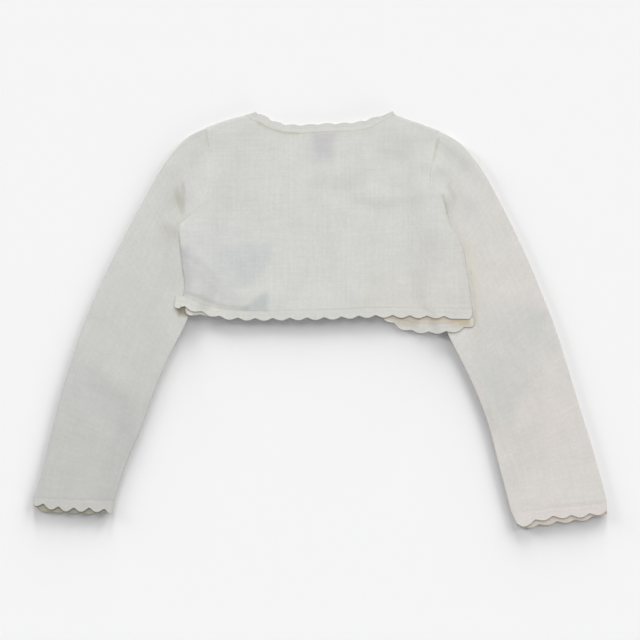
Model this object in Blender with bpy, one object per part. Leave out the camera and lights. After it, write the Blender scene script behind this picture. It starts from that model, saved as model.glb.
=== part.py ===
"""A child's knitted shrug, laid flat with its back up.

Run it with: blender --background --python part.py

The frame is in metres with +Z up. The origin lies on the surface below the middle of the shrug,
+Y points to the neck and +X to the wearer's right. Sizes and plan points are in millimetres, and
plan points count from a place near the middle, which PLAN_MIDDLE puts right.

The layers, from the top: back, front, and the sleeves, which are folded down beside the body.
The fullness of each sleeve at the underarm is tucked in under the side of the body, which lifts
the front and the back there. Each layer is a height worked out from its place in the plan, so
the edging and the labels follow the panels that they are sewn to.
"""
import math
from collections import namedtuple

import bmesh
import bpy
import numpy as np

MM = 0.001

# ---------------------------------------------------------------- driving dimensions, in mm
CLOTH = 1.3            # wall of the fine knit
LABEL = 0.4            # woven label tape
SEAM_GAP = 0.3         # between two pieces that are sewn together
SLACK = 1.3            # more room between back and front, away from the seams
SLACK_REACH = 18.0     # how far in from a seam that room is full
HEM_LIES_DOWN = 0.4    # how much of that room the back gives up at its hem
SLEEVE_DEPTH = 3.4     # a sleeve that lies flat: two walls and the room inside
TUCK_LIFT = 4.2        # how far a tucked sleeve lifts the body
TUCK_MARGIN = 3.0      # the lift is full this far past the sleeve's underarm fold
TUCK_RAMP = 24.0       # and fades over this width
FRONT_MARGIN = 3.0     # the back stays level this far past a front's edging
FRONT_RAMP = 16.0      # and then sags towards the surface
LABEL_CLEAR = 0.45     # between the care label and the front below it

PLAN_MIDDLE = (-1.04, 0.46)    # middle of the whole outline, in plan points
SCALLOP_STEPS = 6      # mesh steps to a scallop
CURVE_STEPS = 400      # fine steps for measuring along a curve
SHARP_ANGLE = 50       # degrees past which an edge of a solid looks sharp

# ---------------------------------------------------------------- plan of the body, in mm
# Each edge is named for the side it is on, seen from above. The wearer's left is at -X.
NECK = [(-79.5, 219), (-75.5, 214.6), (-67, 211), (-57.5, 206), (-44.5, 201), (-31.5, 199.3),
        (7.5, 200.6), (33, 201.4), (50, 204), (63, 210), (79.5, 219.6)]
SHOULDER_LEFT = [(-122.3, 204.4), (-107, 209.8), (-92.7, 214), (-79.5, 219)]
SHOULDER_RIGHT = [(79.5, 219.6), (91, 214.2), (106.9, 208.8), (126.7, 201.3)]
ARMHOLE_LEFT = [(-151.8, 99.8), (-141.4, 108.2), (-130.6, 116.7), (-120.2, 135.7),
                (-118, 161.2), (-119.5, 186.4), (-122.3, 204.4)]
ARMHOLE_RIGHT = [(130.8, 129.6), (122.9, 136), (118.7, 143), (117.4, 152.6),
                 (119.9, 163.3), (122.5, 182.3), (126.7, 201.3)]
SIDE_LEFT = [(-146, 24.5), (-145.2, 34), (-147.8, 55.3), (-149.9, 76.7), (-151.8, 99.8)]
SIDE_RIGHT = [(160.5, 11), (159, 38.5), (156.3, 55.3), (153.1, 74.5), (145.7, 89.2),
              (138.4, 101.9), (135.1, 114.5), (130.8, 129.6)]
HEM_BACK = [(-146, 24.5), (-122, 16.3), (-102.8, 11.8), (-79.3, 9.8), (-32.2, 9.6),
            (10.6, 10.3), (58.7, 12.4), (106.9, 11.9), (160.5, 11)]

# A front's side starts lower than the back's. Its cut edge runs from there along the hem,
# round the corner and up to the neck point.
FRONT_SIDE_LEFT = [(-143, 16), (-144.4, 34), (-147.4, 55.3), (-149.5, 76.7), (-151.8, 99.8)]
FRONT_SIDE_RIGHT = [(162, 6.2), (159.4, 28), (155.9, 55.3), (152.7, 74.5), (145.3, 89.2),
                    (138, 101.9), (134.7, 114.5), (130.8, 129.6)]
FRONT_CUT_LEFT = [(-143, 16), (-133, 13.6), (-121, 13.6), (-105, 15.8), (-90, 19),
                  (-76, 25.5), (-60, 38), (-46, 57), (-37, 80), (-34, 106), (-38, 136),
                  (-48, 170), (-62, 199), (-79.5, 219)]
FRONT_CUT_RIGHT = [(162, 6.2), (152, 1.6), (142, -3.3), (126, -5), (109, -4.6), (93, -2),
                   (81, 4), (68, 13), (55, 27), (42, 48), (34, 74), (31, 102), (36, 134),
                   (48, 170), (62, 199), (79.5, 219.6)]

# ---------------------------------------------------------------- plan of the sleeves, in mm
# One row for each section of a sleeve: its outer fold and its underarm fold.
Section = namedtuple("Section", "outer_x outer_y inner_x inner_y")
SLEEVE_LEFT = [
    Section(-122.9, 204.0, -129.0, 85.2),
    Section(-140.0, 194.8, -130.2, 70.0),
    Section(-161.0, 173.0, -131.0, 54.0),
    Section(-182.0, 140.0, -131.8, 38.0),
    Section(-206.9, 93.5, -135.0, 20.0),
    Section(-230.3, 46.7, -143.0, -3.0),
    Section(-251.7, -3.6, -156.3, -29.0),
    Section(-271.4, -62.4, -175.2, -72.0),
    Section(-288.5, -125.6, -191.6, -117.0),
    Section(-300.3, -171.6, -207.8, -156.0),
    Section(-306.8, -189.8, -219.6, -192.5),
]
SLEEVE_RIGHT = [
    Section(127.2, 200.9, 122.4, 93.8),
    Section(149.7, 187.0, 121.8, 76.0),
    Section(171.1, 163.0, 121.6, 57.0),
    Section(192.5, 126.6, 122.2, 38.0),
    Section(217.6, 78.8, 125.2, 18.0),
    Section(238.6, 29.6, 136.4, -15.0),
    Section(254.9, -13.2, 149.7, -41.5),
    Section(269.8, -65.6, 165.7, -75.3),
    Section(283.4, -113.8, 177.4, -105.0),
    Section(297.4, -161.4, 191.4, -157.0),
    Section(306.0, -194.6, 204.0, -205.0),
]
# The open end of each sleeve: sewn to the armhole at the top, tucked in below.
SLEEVE_START_LEFT = [(-122.9, 204.0), (-120.0, 186.4), (-118.5, 161.2), (-120.3, 140.0),
                     (-124.0, 120.0), (-127.3, 102.0), (-129.0, 85.2)]
SLEEVE_START_RIGHT = [(127.2, 200.9), (123.0, 182.3), (120.4, 163.3), (118.6, 148.0),
                      (119.8, 130.0), (121.6, 112.0), (122.4, 93.8)]
ARMHOLE_FADE = 0.3     # share of a sleeve's length over which the armhole's curve dies out
FOLD_POWER = 6         # how square a sleeve's section is: 2 is an ellipse
FLAT_SHARE = 0.9       # past this share of its full depth the underside is flat
SCALLOP_ROUND = 0.7    # 1 makes notches as wide as scallops, and less makes them narrower

# Between these two heights in the plan, the side of the body rises over the tucked sleeve.
Rise = namedtuple("Rise", "starts full")
RISE_LEFT = Rise(starts=182.0, full=148.0)
RISE_RIGHT = Rise(starts=194.0, full=160.0)

# ---------------------------------------------------------------- soft folds, in mm
# The largest ridges that the cloth lies in. line is the ridge's crest in the plan.
Fold = namedtuple("Fold", "line width height")
SLEEVE_FOLDS = [
    Fold(line=[(-137, 182), (-142, 158), (-141, 133)], width=7, height=1.2),
    Fold(line=[(-158, 160), (-163, 130), (-162, 104)], width=9, height=1.1),
    Fold(line=[(-257, -34), (-225, -60), (-192, -80)], width=14, height=0.9),
    Fold(line=[(-272, -80), (-246, -106), (-216, -139)], width=14, height=0.9),
    Fold(line=[(130, 192), (152, 177), (171, 157)], width=9, height=1.2),
    Fold(line=[(131, 164), (147, 150), (160, 128)], width=9, height=1.1),
    Fold(line=[(198, 21), (208, -20), (214, -64)], width=16, height=0.9),
]
BACK_FOLDS = [
    Fold(line=[(0, 158), (44, 160), (86, 150)], width=12, height=0.8),
    Fold(line=[(58, 132), (92, 130), (108, 138)], width=11, height=0.8),
    Fold(line=[(-124, 64), (-104, 42), (-86, 27)], width=9, height=0.8),
]

# ---------------------------------------------------------------- edging, in mm
# height is from the seam to a notch, depth is how far a scallop stands out past the notch.
# first is the distance from the seam's start to the first notch and pitch that between notches.
# start and end are the shares of its width that the edging keeps at its two ends.
Edging = namedtuple("Edging", "height depth first pitch start end")
NECK_EDGING = Edging(height=7.8, depth=1.4, first=10.0, pitch=18.2, start=0.7, end=0.5)
HEM_EDGING = Edging(height=7.7, depth=2.9, first=9.6, pitch=18.34, start=1.0, end=1.0)
FRONT_EDGING_LEFT = Edging(height=7.8, depth=2.6, first=7.0, pitch=17.8, start=0.65, end=1.0)
FRONT_EDGING_RIGHT = Edging(height=7.8, depth=2.6, first=10.4, pitch=17.5, start=1.0, end=0.5)
NARROWING = 22.0       # length over which an edging narrows at its end
HEM_OVERHANG = (-153.8, 25.6)   # the back's hem edging runs out past the side seam to here

# The free edge of a cuff: outer fold, points between, underarm fold. The lower layer shows
# past the upper one by lower_out. Notches come at first, first + pitch and so on, as shares
# of the way from the outer fold, on the upper and on the lower layer.
Cuff = namedtuple("Cuff", "edge lower_out notch pitch upper_first lower_first")
CUFF_LEFT = Cuff(edge=[(-308.4, -200.6), (-287, -203.6), (-255, -205.9), (-230, -208.9),
                       (-223, -208.2)],
                 lower_out=4.0, notch=5.0, pitch=0.192, upper_first=0.13, lower_first=0.02)
CUFF_RIGHT = Cuff(edge=[(307.0, -207.6), (280, -211.4), (240, -214.4), (220, -220.5),
                        (211.5, -224.2)],
                  lower_out=6.4, notch=3.6, pitch=0.197, upper_first=0.19, lower_first=0.16)

# ---------------------------------------------------------------- labels, in mm
# first is where the label starts, last is the other end of its centre line.
Tape = namedtuple("Tape", "first last width")
NECK_LABEL = Tape(first=(3.6, 200.2), last=(3.6, 168.0), width=28.0)
CARE_LABEL = Tape(first=(-73.0, 12.5), last=(-77.5, 82.0), width=42.0)

# ---------------------------------------------------------------- mesh steps
BACK_COLUMNS = (5, 18, 5)      # shoulder, neck, shoulder
SIDE_ROWS = 8
ARMHOLE_ROWS = 10
FRONT_COLUMNS = 9
SLEEVE_ROWS = 22
SLEEVE_ACROSS = 12
LABEL_STEPS = 8

# ---------------------------------------------------------------- colours, linear
IVORY = (0.640, 0.638, 0.610)
WARM_IVORY = (0.665, 0.655, 0.615)
SATIN_WHITE = (0.560, 0.570, 0.600)


# ---------------------------------------------------------------- curves in the plan
def lengths_along(points):
    """Distance of each point from the first, along the line through them."""
    steps = np.linalg.norm(np.diff(points, axis=0), axis=1)
    return np.concatenate([[0.0], np.cumsum(steps)])


def along(points, fractions):
    """Points at the given fractions of a line's length."""
    points = np.asarray(points, float)
    lengths = lengths_along(points) / lengths_along(points)[-1]
    return np.stack([np.interp(fractions, lengths, points[:, axis]) for axis in (0, 1)], axis=-1)


def smooth(points, steps):
    """A soft curve through the points, as steps + 1 points at even distances."""
    points = np.asarray(points, float)
    knots = lengths_along(points)
    slopes = np.gradient(points, knots, axis=0)
    at = np.linspace(0, knots[-1], CURVE_STEPS)
    first = np.clip(np.searchsorted(knots, at, side="right") - 1, 0, len(knots) - 2)
    span = knots[first + 1] - knots[first]
    s = ((at - knots[first]) / span)[:, None]
    span = span[:, None]
    curve = (points[first] * (2 * s**3 - 3 * s**2 + 1)
             + slopes[first] * span * (s**3 - 2 * s**2 + s)
             + points[first + 1] * (3 * s**2 - 2 * s**3)
             + slopes[first + 1] * span * (s**3 - s**2))
    return along(curve, np.linspace(0, 1, steps + 1))


def joined(*curves):
    """Curves that meet end to end, as one line."""
    return np.concatenate([curves[0]] + [curve[1:] for curve in curves[1:]])


def normals_left(points):
    """Unit vectors to the left of a line's direction."""
    tangents = np.gradient(points, axis=0)
    tangents /= np.linalg.norm(tangents, axis=1)[:, None]
    return np.stack([-tangents[:, 1], tangents[:, 0]], axis=-1)


def side_distance(line, places):
    """Distance of places from a line, positive on its left."""
    line = along(line, np.linspace(0, 1, CURVE_STEPS // 2))
    offsets = places[..., None, :] - line
    nearest = np.argmin(np.sum(offsets**2, axis=-1), axis=-1)
    offset = np.take_along_axis(offsets, nearest[..., None, None], axis=-2)[..., 0, :]
    side = np.sum(offset * normals_left(line)[nearest], axis=-1)
    return np.copysign(np.linalg.norm(offset, axis=-1), side)


def ease(share):
    """0 up to 0, 1 from 1, and a soft S between."""
    share = np.clip(share, 0, 1)
    return share * share * (3 - 2 * share)


def patch(bottom, top, left, right):
    """A grid of plan points inside four edges: bottom and top run to +X, left and right up."""
    across = np.linspace(0, 1, len(bottom))[:, None, None]
    up = np.linspace(0, 1, len(left))[None, :, None]
    between_rows = (1 - up) * bottom[:, None] + up * top[:, None]
    between_sides = (1 - across) * left[None] + across * right[None]
    corners = ((1 - across) * (1 - up) * bottom[0] + across * (1 - up) * bottom[-1]
               + (1 - across) * up * top[0] + across * up * top[-1])
    return between_rows + between_sides - corners


# ---------------------------------------------------------------- edges that pieces share
def edge_points():
    """The panels' edges, sampled once, so that each seam has one line for both its pieces."""
    edges = {
        "neck": smooth(NECK, BACK_COLUMNS[1]),
        "hem": smooth(HEM_BACK, sum(BACK_COLUMNS)),
        "shoulder_left": smooth(SHOULDER_LEFT, BACK_COLUMNS[0]),
        "shoulder_right": smooth(SHOULDER_RIGHT, BACK_COLUMNS[2]),
    }
    rows = SIDE_ROWS + ARMHOLE_ROWS
    for hand, side, front_side, armhole, cut in (
            ("left", SIDE_LEFT, FRONT_SIDE_LEFT, ARMHOLE_LEFT, FRONT_CUT_LEFT),
            ("right", SIDE_RIGHT, FRONT_SIDE_RIGHT, ARMHOLE_RIGHT, FRONT_CUT_RIGHT)):
        upper = smooth(armhole, ARMHOLE_ROWS)
        edges["side_" + hand] = joined(smooth(side, SIDE_ROWS), upper)
        edges["front_side_" + hand] = joined(smooth(front_side, SIDE_ROWS), upper)
        edges["cut_" + hand] = smooth(cut, FRONT_COLUMNS + rows)
    return edges


EDGES = edge_points()
# The seams that join the back to the fronts.
CLOSED_SEAMS = (EDGES["side_left"], EDGES["side_right"],
                EDGES["shoulder_left"], EDGES["shoulder_right"])


def inner_fold(rows):
    """Plan line of a sleeve's underarm fold."""
    return [(row.inner_x, row.inner_y) for row in rows]


def outer_fold(rows):
    """Plan line of a sleeve's outer fold."""
    return [(row.outer_x, row.outer_y) for row in rows]


# ---------------------------------------------------------------- heights of the layers
def lift(places):
    """How far the tucked sleeves raise the body at these places."""
    height = np.zeros(places.shape[:-1])
    for start, rows, rise, inward in (
            (SLEEVE_START_LEFT, SLEEVE_LEFT, RISE_LEFT, 1),
            (SLEEVE_START_RIGHT, SLEEVE_RIGHT, RISE_RIGHT, -1)):
        tucked = joined(np.array(start), np.array(inner_fold(rows)))
        inside = inward * side_distance(tucked, places)
        reach = ease((TUCK_MARGIN + TUCK_RAMP - inside) / TUCK_RAMP)
        below = ease((rise.starts - places[..., 1]) / (rise.starts - rise.full))
        height = np.maximum(height, TUCK_LIFT * reach * below)
    return height


def front_cover(places):
    """1 where a front or its edging lies below the back, and 0 where none does."""
    level = FRONT_EDGING_LEFT.height + FRONT_EDGING_LEFT.depth + FRONT_MARGIN
    cover = np.zeros(places.shape[:-1])
    for cut, outward in ((EDGES["cut_left"], -1), (EDGES["cut_right"], 1)):
        past = outward * side_distance(cut, places)
        cover = np.maximum(cover, ease((level + FRONT_RAMP - past) / FRONT_RAMP))
    return cover


def room_inside(places):
    """Room between back and front: a seam's gap at the seams, and slack away from them."""
    nearest = np.min([np.abs(side_distance(line, places)) for line in CLOSED_SEAMS], axis=0)
    from_hem = side_distance(EDGES["hem"], places)
    laid_down = HEM_LIES_DOWN * (1 - ease(from_hem / SLACK_REACH))
    return SEAM_GAP + (SLACK - laid_down) * ease(nearest / SLACK_REACH)


def folded(places, folds):
    """Height that the soft folds add at these places."""
    height = np.zeros(places.shape[:-1])
    for fold in folds:
        crest = smooth(fold.line, CURVE_STEPS // 8)
        height += fold.height * np.exp(-(side_distance(crest, places) / fold.width)**2)
    return height


def front_height(places):
    """Underside of the front and its edging."""
    return lift(places)


def back_height(places):
    """Underside of the back and its edging."""
    flat = lift(places) + CLOTH * front_cover(places) + room_inside(places)
    return flat + folded(places, BACK_FOLDS)


def neck_label_height(places):
    """Underside of the neck label, which hangs close below the back."""
    return back_height(places) - SEAM_GAP - LABEL


def care_label_height(places):
    """Underside of the care label, which lies on the front."""
    return lift(places) + CLOTH * front_cover(places) + LABEL_CLEAR


# ---------------------------------------------------------------- meshes
def raised(places, heights):
    """Plan points with their heights, as points in space."""
    return np.concatenate([places, heights[..., None]], axis=-1)


def solid_from(name, points, faces, colour):
    """An object with the given points, in mm, and its own plain material."""
    model = bmesh.new()
    middle = np.array([*PLAN_MIDDLE, 0])
    corners = [model.verts.new((point - middle) * MM) for point in points]
    for face in faces:
        model.faces.new([corners[index] for index in face])
    bmesh.ops.recalc_face_normals(model, faces=model.faces)
    mesh = bpy.data.meshes.new(name)
    model.to_mesh(mesh)
    model.free()
    mesh.shade_smooth()
    mesh.set_sharp_from_angle(angle=math.radians(SHARP_ANGLE))

    material = bpy.data.materials.new(name + "_finish")
    material.use_nodes = True
    shader = material.node_tree.nodes["Principled BSDF"]
    shader.inputs["Base Color"].default_value = (*colour, 1)
    shader.inputs["Roughness"].default_value = 0.9
    shader.inputs["Metallic"].default_value = 0
    mesh.materials.append(material)

    piece = bpy.data.objects.new(name, mesh)
    bpy.context.collection.objects.link(piece)
    return piece


def wall_faces(rows, columns, closed_across):
    """Faces of a wall between two grids of points, the second numbered after the first."""
    count = rows * columns
    spans = columns if closed_across else columns - 1
    faces = []
    for row in range(rows - 1):
        for column in range(spans):
            after = (column + 1) % columns
            corners = (row * columns + column, row * columns + after,
                       (row + 1) * columns + after, (row + 1) * columns + column)
            faces.append(corners)
            faces.append([count + corner for corner in reversed(corners)])
    for row in (0, rows - 1):
        for column in range(spans):
            first = row * columns + column
            after = row * columns + (column + 1) % columns
            faces.append((first, after, count + after, count + first))
    if not closed_across:
        for column in (0, columns - 1):
            for row in range(rows - 1):
                first = row * columns + column
                after = first + columns
                faces.append((first, after, count + after, count + first))
    return faces


def sheet_solid(name, places, height, thickness, colour):
    """A sheet of cloth over a grid of plan points, with its underside at height(places)."""
    lower = raised(places, height(places))
    upper = lower + (0, 0, thickness)
    points = np.concatenate([lower.reshape(-1, 3), upper.reshape(-1, 3)])
    faces = wall_faces(places.shape[0], places.shape[1], closed_across=False)
    return solid_from(name, points, faces, colour)


def tube_solid(name, outer, inner, colour):
    """A tube of cloth between rings of outer and inner points."""
    points = np.concatenate([outer.reshape(-1, 3), inner.reshape(-1, 3)])
    faces = wall_faces(outer.shape[0], outer.shape[1], closed_across=True)
    return solid_from(name, points, faces, colour)


# ---------------------------------------------------------------- panels
def make_back():
    """The back panel, from the hem's seam to the neck's."""
    top = joined(EDGES["shoulder_left"], EDGES["neck"], EDGES["shoulder_right"])
    places = patch(EDGES["hem"], top, EDGES["side_left"], EDGES["side_right"])
    return sheet_solid("back", places, back_height, CLOTH, IVORY)


def make_front(hand):
    """A bolero front: its cut edge is the patch's hem and then its front edge."""
    cut = EDGES["cut_" + hand]
    hem = cut[:FRONT_COLUMNS + 1]
    front_edge = cut[FRONT_COLUMNS:]
    side = EDGES["front_side_" + hand]
    if hand == "left":
        shoulder = smooth(SHOULDER_LEFT, FRONT_COLUMNS)
        places = patch(hem, shoulder, side, front_edge)
    else:
        shoulder = smooth(SHOULDER_RIGHT, FRONT_COLUMNS)
        places = patch(hem[::-1], shoulder, front_edge, side)
    return sheet_solid("front_" + hand, places, front_height, CLOTH, IVORY)


# ---------------------------------------------------------------- edging
def scallop(phase):
    """0 at each whole phase, where a notch is, and 1 at the scallop's tip between."""
    return ((1 - np.cos(2 * math.pi * phase)) / 2)**SCALLOP_ROUND


def make_edging(name, seam, edging, height):
    """A scalloped strip on the left of a seam line."""
    length = lengths_along(seam)[-1]
    start, end = -edging.first / edging.pitch, (length - edging.first) / edging.pitch
    steps = np.arange(math.ceil(start * SCALLOP_STEPS), math.floor(end * SCALLOP_STEPS) + 1)
    phase = np.unique(np.round(np.concatenate([[start], steps / SCALLOP_STEPS, [end]]), 2))
    at = np.clip((phase - start) / (end - start), 0, 1)
    line = along(seam, at)
    out = normals_left(line)
    width = edging.height + edging.depth * scallop(phase)
    width *= 1 - (1 - edging.start) * ease(1 - at * length / NARROWING)
    width *= 1 - (1 - edging.end) * ease(1 - (1 - at) * length / NARROWING)
    places = np.stack([line + SEAM_GAP * out, line + width[:, None] * out], axis=1)
    return sheet_solid(name, places, height, CLOTH, WARM_IVORY)


def make_edgings():
    """Edging on the neck, the back's hem and the cut edges of the fronts."""
    make_edging("trim_neck_back", EDGES["neck"], NECK_EDGING, back_height)
    hem = joined(np.array([HEM_OVERHANG, EDGES["hem"][0]]), EDGES["hem"])
    make_edging("trim_hem_back", hem[::-1], HEM_EDGING, back_height)
    # The left front's edging starts at the neck, so its own first notch is found from there.
    left = EDGES["cut_left"][::-1]
    make_edging("trim_front_left", left, FRONT_EDGING_LEFT, front_height)
    make_edging("trim_front_right", EDGES["cut_right"], FRONT_EDGING_RIGHT, front_height)


# ---------------------------------------------------------------- sleeves and cuffs
def fullness(shares):
    """Share of a sleeve's half depth that its section has, from fold to fold."""
    return (1 - np.abs(2 * shares - 1)**FOLD_POWER)**(1 / FOLD_POWER)


def ring(upper, lower, shares, inset):
    """One ring of a flat tube: over the upper layer and back along the lower one.

    upper and lower give plan points at shares of the way from the outer fold to the underarm
    fold. inset is how far the ring lies inside the cloth's outer face.
    """
    width = np.linalg.norm(upper(np.ones(1)) - upper(np.zeros(1)))
    taken = inset / width
    places_at = taken + (1 - 2 * taken) * shares
    half = SLEEVE_DEPTH / 2
    full = fullness(shares)
    flat = np.where(full > FLAT_SHARE, 1, full)
    above = upper(places_at)
    top = raised(above, half + (half - inset) * full + full * folded(above, SLEEVE_FOLDS))
    bottom = raised(lower(places_at), half - (half - inset) * flat)
    return np.concatenate([top, bottom[-2:0:-1]])


def make_sleeve(hand, rows, start):
    """A sleeve from its armhole to the seam of its cuff."""
    outer_line = smooth(outer_fold(rows), SLEEVE_ROWS)
    inner_line = smooth(inner_fold(rows), SLEEVE_ROWS)
    start = smooth(start, CURVE_STEPS)
    shares = (1 - np.cos(np.linspace(0, math.pi, SLEEVE_ACROSS + 1))) / 2
    rings = {0: [], CLOTH: []}
    for row in range(SLEEVE_ROWS + 1):
        outer, inner = outer_line[row], inner_line[row]
        fade = max(0, 1 - row / SLEEVE_ROWS / ARMHOLE_FADE)**2

        def section(at):
            chord = (1 - at)[:, None] * outer + at[:, None] * inner
            first_chord = (1 - at)[:, None] * start[0] + at[:, None] * start[-1]
            return chord + fade * (along(start, at) - first_chord)

        for inset, found in rings.items():
            found.append(ring(section, section, shares, inset))
    return tube_solid("sleeve_" + hand, np.array(rings[0]), np.array(rings[CLOTH]), IVORY)


def make_cuff(hand, rows, cuff):
    """The scalloped edging of a cuff: a short tube from the sleeve's seam to its free edge."""
    outer = np.array((rows[-1].outer_x, rows[-1].outer_y))
    inner = np.array((rows[-1].inner_x, rows[-1].inner_y))
    edge = smooth(cuff.edge, CURVE_STEPS)
    axis = (edge[0] + edge[-1] - outer - inner) / 2
    axis /= np.linalg.norm(axis)

    def seam(at):
        return (1 - at)[:, None] * outer + at[:, None] * inner + SEAM_GAP * axis

    def notches(at, first):
        return cuff.notch * (1 - scallop((at - first) / cuff.pitch))[:, None]

    def upper_edge(at):
        return along(edge, at) - notches(at, cuff.upper_first) * axis

    def lower_edge(at):
        out = cuff.lower_out * np.sin(math.pi * at)[:, None]**0.5
        return along(edge, at) + (out - notches(at, cuff.lower_first)) * axis

    shares = np.linspace(0, 1, round(SCALLOP_STEPS / cuff.pitch) + 1)
    tube = []
    for inset in (0, CLOTH):
        tube.append(np.array([ring(seam, seam, shares, inset),
                              ring(upper_edge, lower_edge, shares, inset)]))
    return tube_solid("trim_cuff_" + hand, tube[0], tube[1], WARM_IVORY)


# ---------------------------------------------------------------- labels
def make_label(name, tape, height):
    """A plain tape between two points of its centre line."""
    first, last = np.array(tape.first), np.array(tape.last)
    line = along([first, last], np.linspace(0, 1, LABEL_STEPS + 1))
    across = normals_left(line)[:, None] * np.linspace(-0.5, 0.5, LABEL_STEPS // 2 + 1)[:, None]
    places = line[:, None] + tape.width * across
    return sheet_solid(name, places, height, LABEL, SATIN_WHITE)


def main():
    """Remove what the scene holds and make the shrug."""
    for item in list(bpy.data.objects):
        bpy.data.objects.remove(item)
    make_back()
    make_front("left")
    make_front("right")
    make_sleeve("left", SLEEVE_LEFT, SLEEVE_START_LEFT)
    make_sleeve("right", SLEEVE_RIGHT, SLEEVE_START_RIGHT)
    make_cuff("left", SLEEVE_LEFT, CUFF_LEFT)
    make_cuff("right", SLEEVE_RIGHT, CUFF_RIGHT)
    make_edgings()
    make_label("label_neck", NECK_LABEL, neck_label_height)
    make_label("label_care", CARE_LABEL, care_label_height)


main()
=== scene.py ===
"""A child's knitted shrug, laid flat with its back up: knit shells, edging, linking and labels.

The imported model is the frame, in metres. Sizes and plan points below are in millimetres, as in
the part's source, and count from a place near the middle, which PLAN_MIDDLE puts right. +Y points
to the neck and +X to the wearer's right.
"""

import math
from collections import namedtuple

import bpy
import numpy as np
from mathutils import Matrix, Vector


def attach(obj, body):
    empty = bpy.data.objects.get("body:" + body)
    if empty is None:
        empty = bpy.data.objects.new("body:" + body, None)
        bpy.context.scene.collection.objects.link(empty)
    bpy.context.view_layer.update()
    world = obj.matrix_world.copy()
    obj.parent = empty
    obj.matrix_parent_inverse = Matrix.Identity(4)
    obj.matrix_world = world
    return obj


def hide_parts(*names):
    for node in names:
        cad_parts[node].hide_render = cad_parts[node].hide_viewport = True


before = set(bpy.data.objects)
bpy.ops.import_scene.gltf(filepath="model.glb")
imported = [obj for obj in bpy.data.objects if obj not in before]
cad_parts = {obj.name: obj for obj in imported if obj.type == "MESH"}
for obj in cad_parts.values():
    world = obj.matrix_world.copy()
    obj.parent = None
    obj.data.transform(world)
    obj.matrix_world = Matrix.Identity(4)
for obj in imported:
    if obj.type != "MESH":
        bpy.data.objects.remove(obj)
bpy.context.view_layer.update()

MM = 0.001
PLAN_MIDDLE = (-1.04, 0.46)

# ================================================================ sizes of the cloth
CLOTH = 1.3            # wall of the fine knit
LABEL = 0.4            # woven label tape
SEAM_GAP = 0.3         # between two pieces that are sewn together
SLACK = 1.3            # more room between back and front, away from the seams
SLACK_REACH = 18.0     # how far in from a seam that room is full
HEM_LIES_DOWN = 0.6    # how much of that room the back gives up at its hem
SLEEVE_DEPTH = 3.4     # a sleeve that lies flat: two walls and the room inside
TUCK_LIFT = 4.2        # how far a tucked sleeve lifts the body
TUCK_MARGIN = 3.0      # the lift is full this far past the sleeve's underarm fold
TUCK_RAMP = 30.0       # and fades over this width
TUCK_RAMP_HEM = 15.0   # which is less at the hem,
TUCK_WIDENS = 60.0     # and grows over this distance from it
FRONT_MARGIN = 3.0     # the back stays level this far past a front's edging
FRONT_RAMP = 26.0      # and then sags towards the surface
LINKED_DIP = 0.35      # how far linked edging dips below the cloth that it is linked to
EDGE_TURN = 1.1        # how close to a closed seam the back turns down to the front
LABEL_CLEAR = 0.45     # between the care label and the front below it

# The real knit is finer: about 1.8 mm across a column and 1.3 mm along it. It is drawn coarser,
# so that its columns still show from where the whole shrug is seen.
WALE = 2.7             # width of one column of stitches
COURSE = 2.1           # height of one row of stitches
EDGING_WALE = 2.0      # the edging's stitches are drawn smaller
EDGING_COURSE = 1.5
OVERLAP = 0.9          # how far linked edges reach past their seam, so that no gap shows
CUFF_DEPTH = 4.0       # a cuff opens a little at its free edge

# ================================================================ plan of the body
NECK = [(-79.5, 219), (-75.5, 214.6), (-67, 211), (-57.5, 206), (-44.5, 201), (-31.5, 199.3),
        (7.5, 200.6), (33, 201.4), (50, 204), (63, 210), (79.5, 219.6)]
SHOULDER_LEFT = [(-122.3, 205.4), (-107, 211.2), (-92.7, 215.6), (-79.5, 219)]
SHOULDER_RIGHT = [(79.5, 219.6), (91, 215.2), (106.9, 209.8), (126.7, 202.5)]
ARMHOLE_LEFT = [(-151.8, 99.8), (-141.4, 108.2), (-130.6, 116.7), (-120.2, 135.7),
                (-118, 161.2), (-119.5, 186.4), (-122.3, 205.4)]
ARMHOLE_RIGHT = [(130.8, 129.6), (122.9, 136), (118.7, 143), (117.4, 152.6),
                 (119.9, 163.3), (122.5, 182.3), (126.7, 202.5)]
SIDE_LEFT = [(-146, 24.5), (-144.4, 35), (-146.6, 55.3), (-149, 76.7), (-151.8, 99.8)]
SIDE_RIGHT = [(162.3, 11), (158.6, 38.5), (155.8, 55.3), (152.8, 74.5), (145.7, 89.2),
              (138.4, 101.9), (135.1, 114.5), (130.8, 129.6)]
HEM_BACK = [(-146, 24.5), (-122, 15.5), (-102.8, 11), (-79.3, 9.4), (-32.2, 9.6),
            (10.6, 10.3), (58.7, 12.4), (106.9, 11.9), (162.3, 11)]
FRONT_SIDE_LEFT = [(-143, 16), (-143.8, 35), (-146.2, 55.3), (-148.6, 76.7), (-151.8, 99.8)]
FRONT_SIDE_RIGHT = [(162.4, 3.5), (159.6, 26), (155.4, 55.3), (152.4, 74.5), (145.3, 89.2),
                    (138, 101.9), (134.7, 114.5), (130.8, 129.6)]
FRONT_CUT_LEFT = [(-143, 16), (-133, 13.6), (-121, 13.6), (-105, 15.8), (-90, 19),
                  (-76, 25.5), (-60, 38), (-46, 57), (-37, 80), (-34, 106), (-38, 136),
                  (-48, 170), (-62, 199), (-79.5, 219)]
FRONT_CUT_RIGHT = [(162.4, 3.5), (152, -0.4), (142, -3.6), (126, -5), (109, -4.6), (93, -2),
                   (81, 4), (68, 13), (55, 27), (42, 48), (34, 74), (31, 102), (36, 134),
                   (48, 170), (62, 199), (79.5, 219.6)]

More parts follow.
